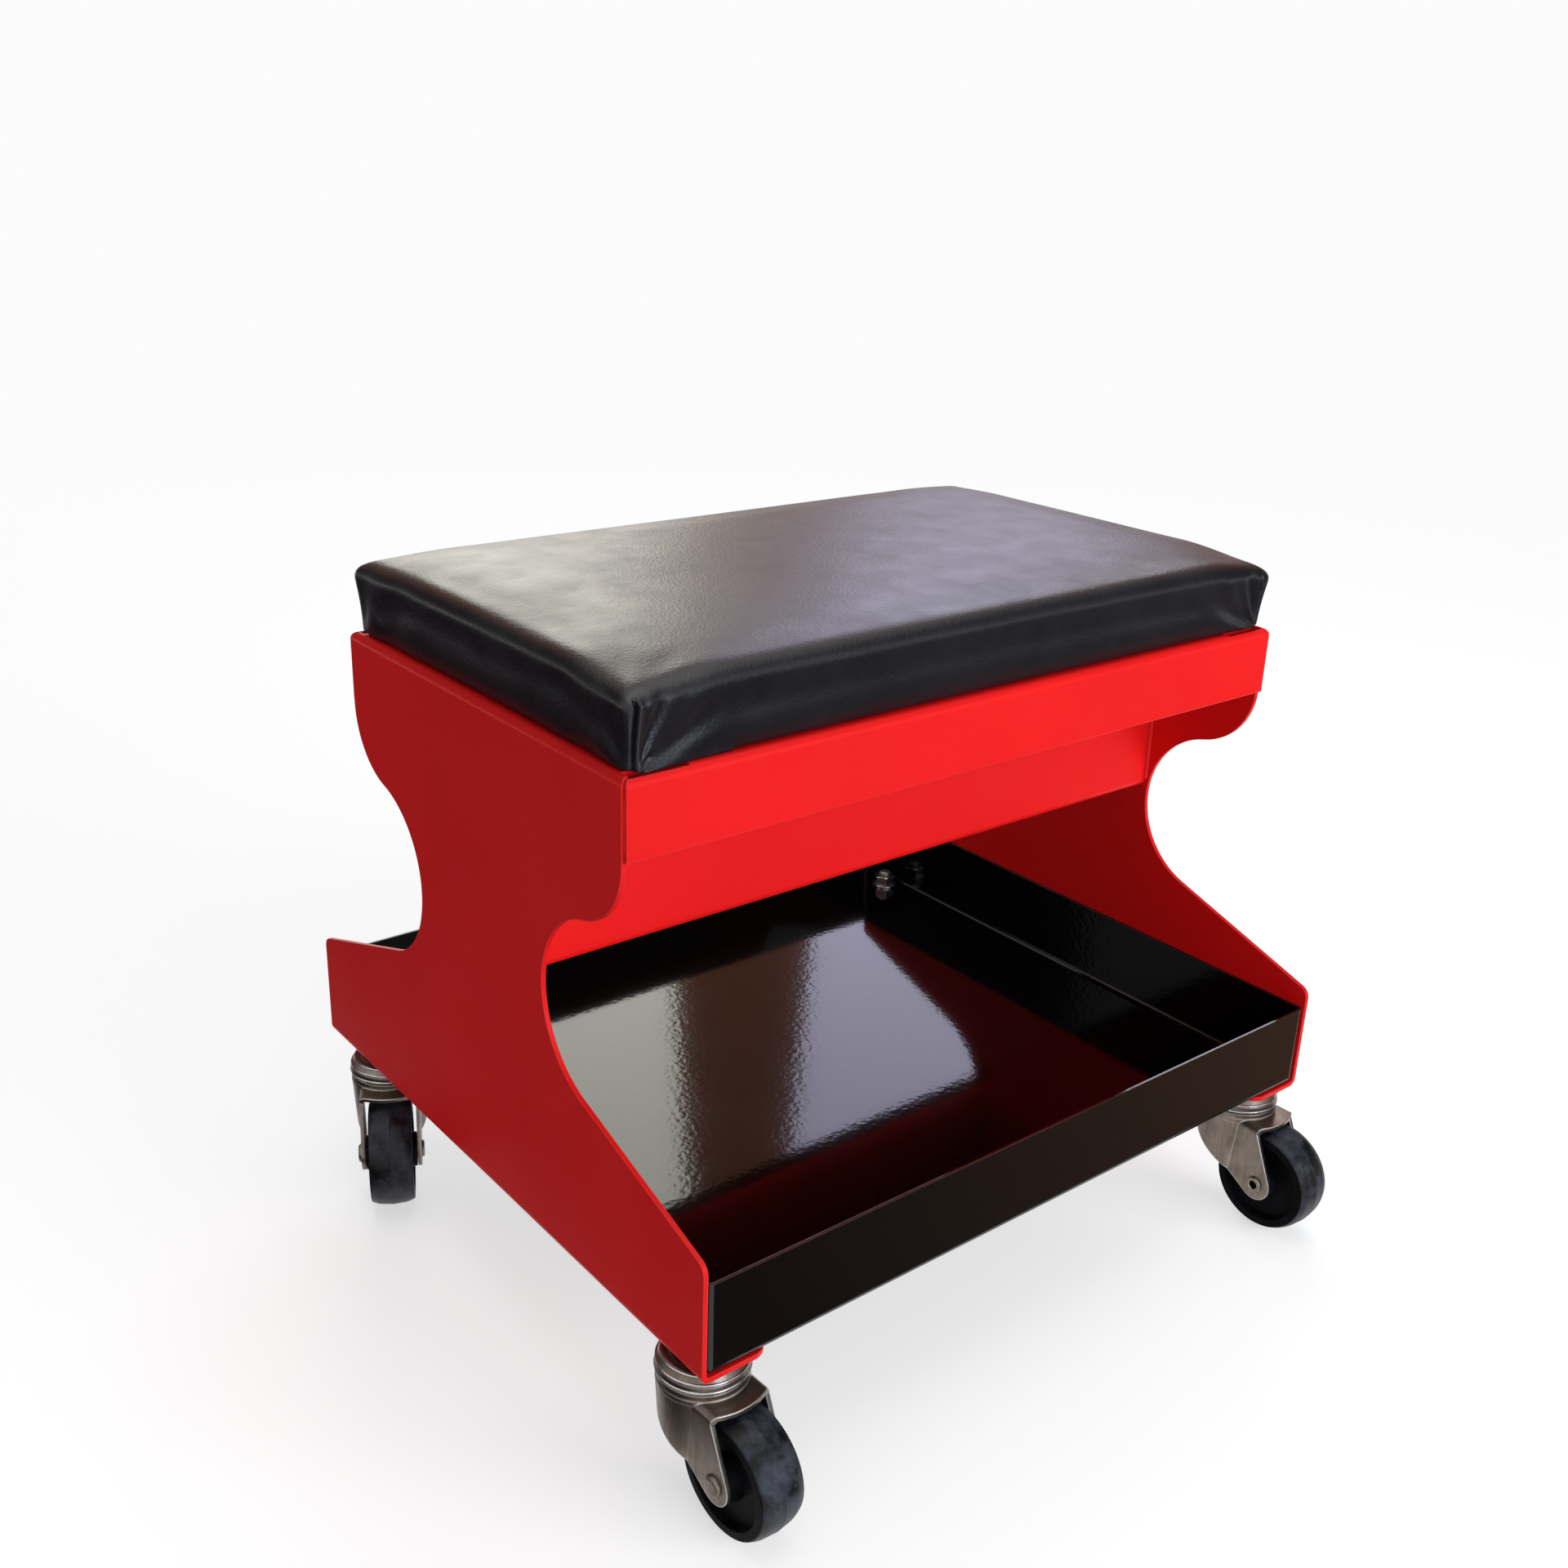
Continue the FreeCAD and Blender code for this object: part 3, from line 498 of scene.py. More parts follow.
def turned_object(name: str, profile: list[tuple[float, float]], count: int = 40) -> Piece:
    """Turn a profile of radii and heights, from its lower end up, about Z into a closed mesh object."""
    points = [point for radius, height in profile for point in ring(Vector((0, 0, height)), radius, count)]
    return mesh_object(name, points, skin_faces(len(profile), count))


def block_object(name: str, half: Vector) -> Piece:
    """A box about the origin, half so large as given each way."""
    signs = [(x, y, z) for z in (-1, 1) for y in (-1, 1) for x in (-1, 1)]
    points = [Vector((x * half.x, y * half.y, z * half.z)) for x, y, z in signs]
    faces = [(0, 2, 3, 1), (4, 5, 7, 6), (0, 1, 5, 4), (2, 6, 7, 3), (0, 4, 6, 2), (1, 3, 7, 5)]
    return mesh_object(name, points, faces)


def baked(piece: Piece) -> None:
    """Apply every modifier of a piece to its mesh."""
    graph = bpy.context.evaluated_depsgraph_get()
    mesh = bpy.data.meshes.new_from_object(piece.evaluated_get(graph))
    piece.modifiers.clear()
    old = piece.data
    piece.data = mesh
    bpy.data.meshes.remove(old)


def smooth_step(value: float) -> float:
    """Ease a value from 0 to 1, flat at both ends."""
    held = min(1.0, max(0.0, value))
    return held * held * (3.0 - 2.0 * held)


class SubAssembly:
    """What every sub-assembly shares: dressing its solids and adding its own pieces."""

    def dress(self, node: str, finish: Finish) -> None:
        """Give a CAD node its finish."""
        finish.cover(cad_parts[node])
        log.info("dressed %s in %s", node, finish.name)

    def add(self, piece: Piece, body: str, slot: Slot, finish: Finish, *replaced: str) -> None:
        """Finish a new piece and make it ride on its body.

        Args:
            piece: The new piece.
            body: The CAD body that carries it.
            slot: The record's slot for the piece; not used.
            finish: The finish that it gets.
            *replaced: CAD nodes that it stands for.
        """
        finish.cover(piece)
        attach(piece, body)
        if replaced:
            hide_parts(*replaced)
        log.info("added %s on %s", piece.name, body)


@dataclass
class SeatFrame(SubAssembly):
    """The red steelwork: side panels, aprons and stretchers, with what fastens the seat to it."""

    steelwork: tuple[str, ...] = ("left_side_panel", "right_side_panel", "front_apron", "rear_apron",
                                  "front_stretcher", "rear_stretcher")
    panel_sheet: float = 2.5 * MM
    bead_radius: float = 1.7 * MM
    bead_inset: float = 4.0 * MM
    ripple: float = 1.3 * MM
    ripple_share: float = 0.13
    steps_per_ripple: int = 6
    ending_steps: int = 8
    ending_share: float = 0.25
    bead_sides: int = 12
    head_radius: float = 4.4 * MM
    head_height: float = 2.6 * MM
    shank_radius: float = 2.1 * MM
    cross_reach: float = 2.5 * MM
    cross_width: float = 0.95 * MM
    cross_depth: float = 1.7 * MM
    dome_turns: tuple[float, ...] = (0.3, 0.6, 0.9, 1.2, math.pi / 2)
    tip_radius: float = 0.3 * MM

    def weld(self, name: str, x: float, y: float, low: float, high: float) -> None:
        """Lay an upright weld bead, painted over, into the corner where two sheets meet.

        Args:
            name: The bead's name.
            x: The corner's place along X.
            y: The corner's place along Y.
            low: The bead's lower end.
            high: The bead's upper end.
        """
        steps = int((high - low) / (self.ripple / self.steps_per_ripple))
        points = []
        for step in range(steps + 1):
            z = low + (high - low) * step / steps
            swell = 1.0 + self.ripple_share * abs(math.sin(math.pi * (z - low) / self.ripple))
            ending = min(1.0, self.ending_share + min(step, steps - step) / self.ending_steps)
            points += ring(Vector((x, y, z)), self.bead_radius * swell * ending, self.bead_sides)
        bead = mesh_object(name, points, skin_faces(steps + 1, self.bead_sides))
        self.add(bead, "frame", Slot.RED_PAINT, RED)

    def welds(self) -> None:
        """Lay the beads that hold the stretchers and the aprons to the side panels."""
        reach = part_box("right_side_panel")[1].x - self.panel_sheet
        for node, side in (("front_stretcher", -1), ("rear_stretcher", 1),
                           ("front_apron", -1), ("rear_apron", 1)):
            low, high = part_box(node)
            y = high.y if side > 0 else low.y
            top = high.z - self.bead_inset
            if "apron" in node:
                y -= side * self.panel_sheet
                top -= self.bead_inset
            for hand, x in (("left", -reach), ("right", reach)):
                self.weld(f"{node}_{hand}_weld", x, y, low.z + self.bead_inset, top)

    def screws(self) -> None:
        """Make the seat screws again, with the cross recess that their heads have."""
        low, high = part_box("seat_screws")
        top, seat = high.z - low.z, self.head_height
        dome = [(self.head_radius * math.sin(turn), seat - seat * math.cos(turn)) for turn in self.dome_turns]
        profile = [*dome, (self.shank_radius, seat), (self.shank_radius, top - self.shank_radius),
                   (self.tip_radius, top)]
        screw = turned_object("screw", profile)
        long, wide = self.cross_reach, self.cross_width
        for number, (x, y) in enumerate(((long, wide), (wide, long))):
            block = block_object(f"recess_{number}", Vector((x, y, self.cross_depth)))
            cut = screw.modifiers.new("recess", "BOOLEAN")
            cut.operation, cut.solver, cut.object = "DIFFERENCE", "EXACT", block
            baked(screw)
            bpy.data.objects.remove(block)
        form = bmesh.new()
        for x in (low.x + self.head_radius, high.x - self.head_radius):
            for y in (low.y + self.head_radius, (low.y + high.y) / 2, high.y - self.head_radius):
                screw.data.transform(Matrix.Translation((x, y, low.z)))
                form.from_mesh(screw.data)
                screw.data.transform(Matrix.Translation((-x, -y, -low.z)))
        form.to_mesh(screw.data)
        form.free()
        screw.name = "seat_screws_cross"
        self.add(screw, "frame", Slot.ZINC, ZINC, "seat_screws")

    def build(self) -> None:
        """Dress the steelwork, weld it and screw the seat to it."""
        for node in self.steelwork:
            self.dress(node, RED)
        self.welds()
        self.screws()
        self.dress("seat_screw_washers", ZINC)


@dataclass
class ToolTray(SubAssembly):
    """The black tray with the nuts and washers that stand in it."""

    fixings: tuple[str, ...] = ("stem_nuts", "stem_washers")
    stem_radius: float = 4.0 * MM
    thread_pitch: float = 1.25 * MM
    thread_height: float = 0.28 * MM
    thread_root: float = 0.4 * MM
    flank_share: float = 0.42
    tip_share: float = 1.7
    per_turn: int = 40

    def thread(self, corner: Corner) -> None:
        """Wind the visible turns of the thread round the tip of one caster's stem.

        Args:
            corner: The caster's corner.
        """
        low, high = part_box(f"{corner.label}_stem")
        x, y = (low.x + high.x) / 2, (low.y + high.y) / 2
        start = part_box("stem_nuts")[1].z - self.thread_pitch
        end = high.z - self.tip_share * self.thread_height - self.thread_pitch / 2
        steps = int((end - start) / self.thread_pitch * self.per_turn)
        ridge = ((-self.thread_root, self.flank_share), (self.thread_height, 0.0),
                 (-self.thread_root, -self.flank_share))
        points = []
        for step in range(steps + 1):
            turn = 2 * math.pi * step / self.per_turn
            z = start + self.thread_pitch * step / self.per_turn
            for out, up in ridge:
                radius = self.stem_radius + out
                points.append(Vector((x + radius * math.cos(turn), y + radius * math.sin(turn),
                                      z + up * self.thread_pitch)))
        wound = mesh_object(f"{corner.label}_thread", points, skin_faces(steps + 1, len(ridge)))
        self.add(wound, "frame", Slot.ZINC, ZINC)

    def build(self) -> None:
        """Dress the tray and its fixings, and cut the stems' threads."""
        self.dress("tool_tray", BLACK)
        for node in self.fixings:
            self.dress(node, ROLLED)
        for corner in Corner:
            self.thread(corner)


@dataclass(frozen=True)
class Spot:
    """Where a point lies on the cushion: from its middle, from its edges, and its share of the height."""

    x: float
    y: float
    from_end: float
    from_side: float
    height: float


@dataclass(frozen=True)
class Folds:
    """The cushion's pleats, folds and wrinkles, with places measured from its corners and edges."""

    edge_reach: float = 14.0 * MM
    sway_height: float = 0.16 * MM
    sway_lengths: tuple[float, float] = (31.0 * MM, 13.0 * MM)
    pleat_place: float = 5.6 * MM
    pleat_width: float = 1.1 * MM
    pleat_depth: float = 3.2 * MM
    lip_place: float = 2.4 * MM
    lip_height: float = 0.8 * MM
    fan_middle: float = 6.0 * MM
    fan_rise: float = 34.0 * MM
    fan_height: float = 1.1 * MM
    flap_width: float = 9.0 * MM
    flap_length: float = 57.0 * MM
    flap_out: float = 1.0 * MM
    flap_drop: float = 1.1 * MM
    crease_height: float = 0.6 * MM
    crease_spacing: float = 8.0 * MM
    crease_slant: float = 30.0 * MM
    swell_height: float = 0.10 * MM
    swell_margin: float = 30.0 * MM

    def flank(self, spot: Spot) -> float:
        """1 on the upright sides, fading to 0 over the rolled rim."""
        return 1.0 - smooth_step((spot.height - 0.6) / 0.3)

    def long_side(self, spot: Spot) -> float:
        """How far out a long side is pushed by its light sway, its corner pleats and the folds beside them.

        Args:
            spot: Where the point lies.

        Returns:
            The outward move.
        """
        if spot.from_side >= self.edge_reach:
            return 0.0
        long_wave, short_wave = self.sway_lengths
        sway = math.sin(spot.x / long_wave + math.copysign(2.0, spot.y))
        sway += 0.6 * math.sin(spot.x / short_wave + spot.height * 4.0)
        sway *= self.sway_height * math.sin(math.pi * min(1.0, spot.height))
        from_pleat = spot.from_end - self.pleat_place
        groove = math.exp(-((from_pleat / self.pleat_width) ** 4))
        lip = math.exp(-(((abs(from_pleat) - self.lip_place) / self.pleat_width) ** 2))
        below_rim = 1.0 - smooth_step((spot.height - 0.66) / 0.10)
        pleat = below_rim * (self.lip_height * lip - self.pleat_depth * groove)
        along, up = spot.from_end - self.fan_middle, spot.height * self.fan_rise
        reach, slant = math.hypot(along, up), math.atan2(up, along)
        folds = 0.6 * math.sin(slant * 9.0 + 60.0 * reach)
        folds += 0.35 * math.sin(slant * 17.0 - 90.0 * reach + 1.3)
        fan = smooth_step((along - 1 * MM) / (6 * MM)) * (1.0 - smooth_step((along - 12 * MM) / (44 * MM)))
        on_side = 1.0 - smooth_step(spot.from_side / self.edge_reach)
        return on_side * (sway + pleat + fan * self.fan_height * folds * self.flank(spot))

    def flap(self, spot: Spot) -> Vector:
        """How the loose flap of vinyl hangs below the near corner's long side.

        Args:
            spot: Where the point lies.

        Returns:
            The move.
        """
        if spot.x > 0 or spot.y > 0 or spot.from_side >= self.flap_width:
            return Vector((0, 0, 0))
        along = 1.0 - smooth_step((spot.from_end - self.flap_length) / (2 * MM))
        along *= smooth_step((spot.from_end - 2 * MM) / (8 * MM))
        loose = along * (1.0 - smooth_step(spot.height / 0.12))
        outside = 1.0 - smooth_step((spot.from_side - 2 * MM) / (3 * MM))
        return Vector((0, -loose * self.flap_out, -loose * self.flap_drop * outside))

    def short_side(self, spot: Spot) -> float:
        """How far out a short side is pushed by the slanting creases near its corners.

        Args:
            spot: Where the point lies.

        Returns:
            The outward move.
        """
        if spot.from_end >= self.edge_reach:
            return 0.0
        fade = smooth_step((spot.from_side - 4 * MM) / (14 * MM))
        fade *= 1.0 - smooth_step((spot.from_side - 34 * MM) / (54 * MM))
        slant = (spot.from_side - spot.height * self.crease_slant) / self.crease_spacing
        on_end = 1.0 - smooth_step(spot.from_end / self.edge_reach)
        return on_end * fade * self.crease_height * math.sin(slant) * self.flank(spot)

    def top(self, spot: Spot) -> float:
        """How far up the sat-on top is pushed, which is mostly down.

        Args:
            spot: Where the point lies.

        Returns:
            The upward move.
        """
        if spot.height <= 0.75:
            return 0.0
        inside = smooth_step(spot.from_end / self.swell_margin)
        inside *= smooth_step(spot.from_side / self.swell_margin)
        swell = math.sin(spot.y / (17 * MM) + 1.4 * math.sin(spot.x / (70 * MM)))
        swell += 0.7 * math.sin(spot.x / (33 * MM) - spot.y / (41 * MM) + 0.8)
        return inside * self.swell_height * (swell - 1.7)

    def move(self, spot: Spot) -> Vector:
        """The whole move of the point at a spot."""
        outward = Vector((math.copysign(1.0, spot.x) * self.short_side(spot),
                          math.copysign(1.0, spot.y) * self.long_side(spot), self.top(spot)))
        return outward + self.flap(spot)


@dataclass
class Cushion(SubAssembly):
    """The padded vinyl top, blown up by a cloth simulation and then pleated at its corners."""

    spacing: float = 4.5 * MM
    start_inset: float = 1.0 * MM
    rim_width: float = 13.0 * MM
    rim_height: float = 9.0 * MM
    corner_radius: float = 4.0 * MM
    foot_radius: float = 2.2 * MM
    foot_tuck: float = 4.0 * MM
    side_draw: float = 1.4 * MM
    crown: float = 3.0 * MM
    corner_drop: float = 5.0 * MM
    rear_drop_share: float = 0.45
    drop_reach: float = 60.0 * MM
    pressure: float = 4.0
    travel: float = 1.5 * MM
    edge_hold: float = 0.3
    hold_reach: float = 24.0 * MM
    frames: int = 20
    hem_x: float = 44.2 * MM
    hem_y: float = 31.1 * MM
    skin: float = 1.0 * MM
    cloth_quality: int = 6
    cloth_mass: float = 0.4
    stretch_stiffness: float = 22.0
    bend_stiffness: float = 0.6
    held_height: float = 2.5 * MM
    hem_height: float = 4.0 * MM
    fine_reach: float = 13.0 * MM
    rim_turns_deg: tuple[float, ...] = (15.0, 30.0, 45.0)
    crown_powers: tuple[float, float] = (5.0, 2.4)
    folds: Folds = Folds()
    low: Vector = field(default_factory=lambda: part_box("seat_cover")[0])
    high: Vector = field(default_factory=lambda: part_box("seat_cover")[1])

    @property
    def middle(self) -> Vector:
        """The middle of the cover's box."""
        return (self.low + self.high) / 2

    @property
    def half(self) -> Vector:
        """Half the cover's box."""
        return (self.high - self.low) / 2

    def spread(self, low: float, high: float, low_rim: float, high_rim: float) -> list[float]:
        """Places of grid lines along one axis, closer together where the edges are rounded.

        Args:
            low: The start of the axis.
            high: Its end.
            low_rim: How far the rounding reaches at the start.
            high_rim: How far it reaches at the end.

        Returns:
            The places, from low to high.
        """
        turns = [math.tan(math.radians(turn)) for turn in self.rim_turns_deg]
        inner_low, inner_high = low + low_rim, high - high_rim
        steps = max(1, round((inner_high - inner_low) / self.spacing))
        even = [inner_low + (inner_high - inner_low) * step / steps for step in range(steps + 1)]
        return [inner_low - low_rim * turn for turn in reversed(turns)] + even + [
            inner_high + high_rim * turn for turn in turns]

    def rounded(self, point: Vector, low: Vector, high: Vector) -> Vector:
        """Move a point of a plain box onto the box with rolled edges and tight upright corners.

        Args:
            point: A point on the plain box.
            low: The box's lower corner.
            high: Its upper corner.

        Returns:
            The point on the rounded box.
        """
        foot = point.z < (low.z + high.z) / 2
        across, upright = (self.foot_radius,) * 2 if foot else (self.rim_width, self.rim_height)
        middle, half = (low + high) / 2, (high - low) / 2
        away = [abs(point[axis] - middle[axis]) for axis in (0, 1)]
        beyond = [max(0.0, away[axis] - (half[axis] - across)) for axis in (0, 1)]
        out = max(beyond) / across
        rise = max(0.0, abs(point.z - middle.z) - (half.z - upright)) / upright
        length = max(1e-9, math.hypot(out, rise))
        share_out = out / length if rise > 0 else 1.0
        if out > 0:
            away = [away[axis] - beyond[axis] * (1.0 - share_out / out) for axis in (0, 1)]
        height = half.z - upright * (1.0 - rise / length) if rise > 0 else abs(point.z - middle.z)
        level = [half[axis] - across * (1.0 - share_out) - self.corner_radius for axis in (0, 1)]
        over = [away[axis] - level[axis] for axis in (0, 1)]
        if min(over) > 0:
            shrink = max(over) / math.hypot(*over)
            away = [level[axis] + over[axis] * shrink for axis in (0, 1)]
        signs = [math.copysign(1.0, point[axis] - middle[axis]) for axis in range(3)]
        return middle + Vector((away[0] * signs[0], away[1] * signs[1], height * signs[2]))

    def shaped(self, point: Vector) -> Vector:
        """Give a point of the rounded box the cushion's crown, dropped corners and drawn-in sides.

        Args:
            point: A point on the rounded box.

        Returns:
            The point on the start shape.
        """
        away = point - self.middle
        along_x, along_y = away.x / self.half.x, away.y / self.half.y
        share = (point.z - self.low.z) / (2 * self.half.z)
        from_corner = math.hypot(self.half.x - abs(away.x), self.half.y - abs(away.y))
        drop = self.corner_drop * (1.0 - smooth_step(from_corner / self.drop_reach))
        drop *= self.rear_drop_share if away.y > 0 else 1.0
        power_x, power_y = self.crown_powers
        crown = self.crown * (1.0 - abs(along_x) ** power_x) * (1.0 - abs(along_y) ** power_y)
        tuck = self.foot_tuck * (1.0 - share)
        draw_x = self.side_draw * (1.0 - along_y ** 2) + tuck
        draw_y = self.side_draw * (1.0 - along_x ** 2) + tuck
        return Vector((point.x - along_x * draw_x, point.y - along_y * draw_y,
                       point.z + share * (crown - drop)))

    def start_shape(self) -> Piece:
        """The closed shape that the simulation blows up."""
        inset = Vector((self.start_inset, self.start_inset, 0.0))
        low = self.low + inset
        high = self.high - inset - Vector((0, 0, self.crown + self.start_inset))
        rims = ((self.rim_width, self.rim_width), (self.rim_width, self.rim_width),
                (self.foot_radius, self.rim_height))
        lines = [self.spread(low[axis], high[axis], *rims[axis]) for axis in range(3)]
        last = [len(line) - 1 for line in lines]
        points: list[Vector] = []
        known: dict[tuple[int, ...], int] = {}

        def number(key: tuple[int, ...]) -> int:
            """The number of the point at a crossing of grid lines."""
            if key not in known:
                known[key] = len(points)
                plain = Vector([lines[axis][key[axis]] for axis in range(3)])
                points.append(self.shaped(self.rounded(plain, low, high)))
            return known[key]

        faces = []
        for axis in range(3):
            first, second = (axis + 1) % 3, (axis + 2) % 3
            for end in (0, last[axis]):
                for i in range(last[first]):
                    for j in range(last[second]):
                        corners = []
                        for step_i, step_j in ((0, 0), (1, 0), (1, 1), (0, 1)):
                            key = [0, 0, 0]
                            key[axis], key[first], key[second] = end, i + step_i, j + step_j
                            corners.append(number(tuple(key)))
                        faces.append(tuple(corners if end else reversed(corners)))
        return mesh_object("cushion", points, faces)

    def settle(self, piece: Piece) -> None:
        """Blow the shape up as cloth, with its movement limited, most of all where the foam holds its edges.

        Args:
            piece: The start shape, which is changed.
        """
        start = [vertex.co.copy() for vertex in piece.data.vertices]
        held = piece.vertex_groups.new(name="held")
        foot = self.low.z + self.held_height
        held.add([vertex.index for vertex in piece.data.vertices if vertex.co.z < foot], 1.0, "REPLACE")
        cloth = piece.modifiers.new("cloth", "CLOTH")
        settings = cloth.settings
        settings.quality = self.cloth_quality
        settings.mass = self.cloth_mass
        settings.tension_stiffness = self.stretch_stiffness
        settings.compression_stiffness = self.stretch_stiffness
        settings.bending_stiffness = self.bend_stiffness
        settings.use_pressure = True
        settings.uniform_pressure_force = self.pressure
        settings.vertex_group_mass = held.name
        settings.effector_weights.gravity = 0.0
        cloth.point_cache.frame_start = 1
        cloth.point_cache.frame_end = self.frames
        for number in range(1, self.frames + 1):
            bpy.context.scene.frame_set(number)
        baked(piece)
        bpy.context.scene.frame_set(1)
        piece.vertex_groups.clear()
        for vertex, before in zip(piece.data.vertices, start):
            move = vertex.co - before
            away = before - self.middle
            from_rim = min(self.half.x - abs(away.x), self.half.y - abs(away.y))
            reach = max(from_rim - self.rim_width, self.high.z - before.z - self.rim_height)
            loose = self.edge_hold + (1.0 - self.edge_hold) * smooth_step(reach / self.hold_reach)
            vertex.co = before + move * (loose * self.travel / (self.travel + move.length))

    def fit(self, piece: Piece) -> None:
        """Bring the blown-up shape back to the cover's box, foot on the frame.

        Args:
            piece: The cushion, which is changed.
        """
        points = [vertex.co for vertex in piece.data.vertices]
        for axis in range(3):
            low = min(point[axis] for point in points)
            high = max(point[axis] for point in points)
            scale = (self.high[axis] - self.low[axis]) / (high - low)
            for vertex in piece.data.vertices:
                vertex.co[axis] = self.low[axis] + (vertex.co[axis] - low) * scale

    def open_underside(self, piece: Piece) -> None:
        """Cut away what the board covers, and leave the hem as a skin of real thickness.

        Args:
            piece: The cushion, which is changed.
        """
        form = bmesh.new()
        form.from_mesh(piece.data)
        window_x, window_y = self.half.x - self.hem_x, self.half.y - self.hem_y
        under = []
        for face in form.faces:
            away = face.calc_center_median() - self.middle
            facing_down = face.normal.z < -0.7 and away.z + self.half.z < self.hem_height
            if facing_down and abs(away.x) < window_x and abs(away.y) < window_y:
                under.append(face)
        bmesh.ops.delete(form, geom=under, context="FACES")
        form.to_mesh(piece.data)
        form.free()

    def spot(self, point: Vector) -> Spot:
        """Where a point lies on the cushion."""
        away = point - self.middle
        height = (point.z - self.low.z) / (2 * self.half.z)
        return Spot(away.x, away.y, self.half.x - abs(away.x), self.half.y - abs(away.y), height)

    def pleat(self, piece: Piece) -> None:
        """Refine the mesh at the corners and press the pleats and wrinkles into it.

        Args:
            piece: The cushion, which is changed.
        """
        subdivision = piece.modifiers.new("finer", "SUBSURF")
        subdivision.levels = 1
        baked(piece)
        form = bmesh.new()
        form.from_mesh(piece.data)
        near = set()
        for face in form.faces:
            away = face.calc_center_median() - self.middle
            if max(self.half.x - abs(away.x), self.half.y - abs(away.y)) < self.fine_reach:
                near.update(face.edges)
        bmesh.ops.subdivide_edges(form, edges=list(near), cuts=3, use_grid_fill=True, smooth=0.0)
        bmesh.ops.triangulate(form, faces=[face for face in form.faces if len(face.verts) > 4])
        for vertex in form.verts:
            vertex.co += self.folds.move(self.spot(vertex.co))
        form.to_mesh(piece.data)
        form.free()
        piece.data.shade_smooth()

    def build(self) -> None:
        """Make the cushion and dress the board and the staples under it."""
        piece = self.start_shape()
        self.settle(piece)
        self.fit(piece)
        self.open_underside(piece)
        self.pleat(piece)
        skin = piece.modifiers.new("skin", "SOLIDIFY")
        skin.thickness = self.skin
        skin.offset = -1.0
        self.add(piece, "frame", Slot.VINYL, VINYL, "seat_cover", "seat_foam")
        self.dress("seat_board", PLY)
        self.dress("cover_staples", ZINC)


@dataclass
class Caster(SubAssembly):
    """One swivel caster: its bearing on the frame, its fork and its wheel."""

    corner: Corner
    lip_radius: float = 0.75 * MM
    lips: tuple[tuple[float, float], ...] = ((20.0 * MM, 0.9 * MM), (22.0 * MM, 4.2 * MM),
                                             (22.5 * MM, 8.2 * MM))
    per_turn: int = 96
    lip_sides: int = 12

    def rolled_lips(self) -> None:
        """Roll the lips that run round the top race, each given by its radius and its place below the top."""
        low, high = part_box(f"{self.corner.label}_race")
        middle = (low + high) / 2
        points, faces = [], []
        for radius, below in self.lips:
            faces += skin_faces(self.lip_sides, self.per_turn, start=len(points), looped=True)
            for side in range(self.lip_sides):
                turn = 2 * math.pi * side / self.lip_sides
                middle.z = high.z - below + self.lip_radius * math.sin(turn)
                points += ring(middle, radius + self.lip_radius * math.cos(turn), self.per_turn)
        self.add(mesh_object(f"{self.corner.label}_race_lips", points, faces), "frame", Slot.ZINC, ROLLED)

    def build(self) -> None:
        """Dress the caster's solids."""
        label = self.corner.label
        for part in ("stem", "race", "keeper", "fork", "axle", "sleeve"):
            self.dress(f"{label}_{part}", ZINC)
        self.dress(f"{label}_balls", BRIGHT)
        low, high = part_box(f"{label}_wheel")
        middle = (low + high) / 2
        self.dress(f"{label}_wheel", HardRubber(f"hard_rubber_{label}", tuple(middle), self.corner.axle))
        self.rolled_lips()


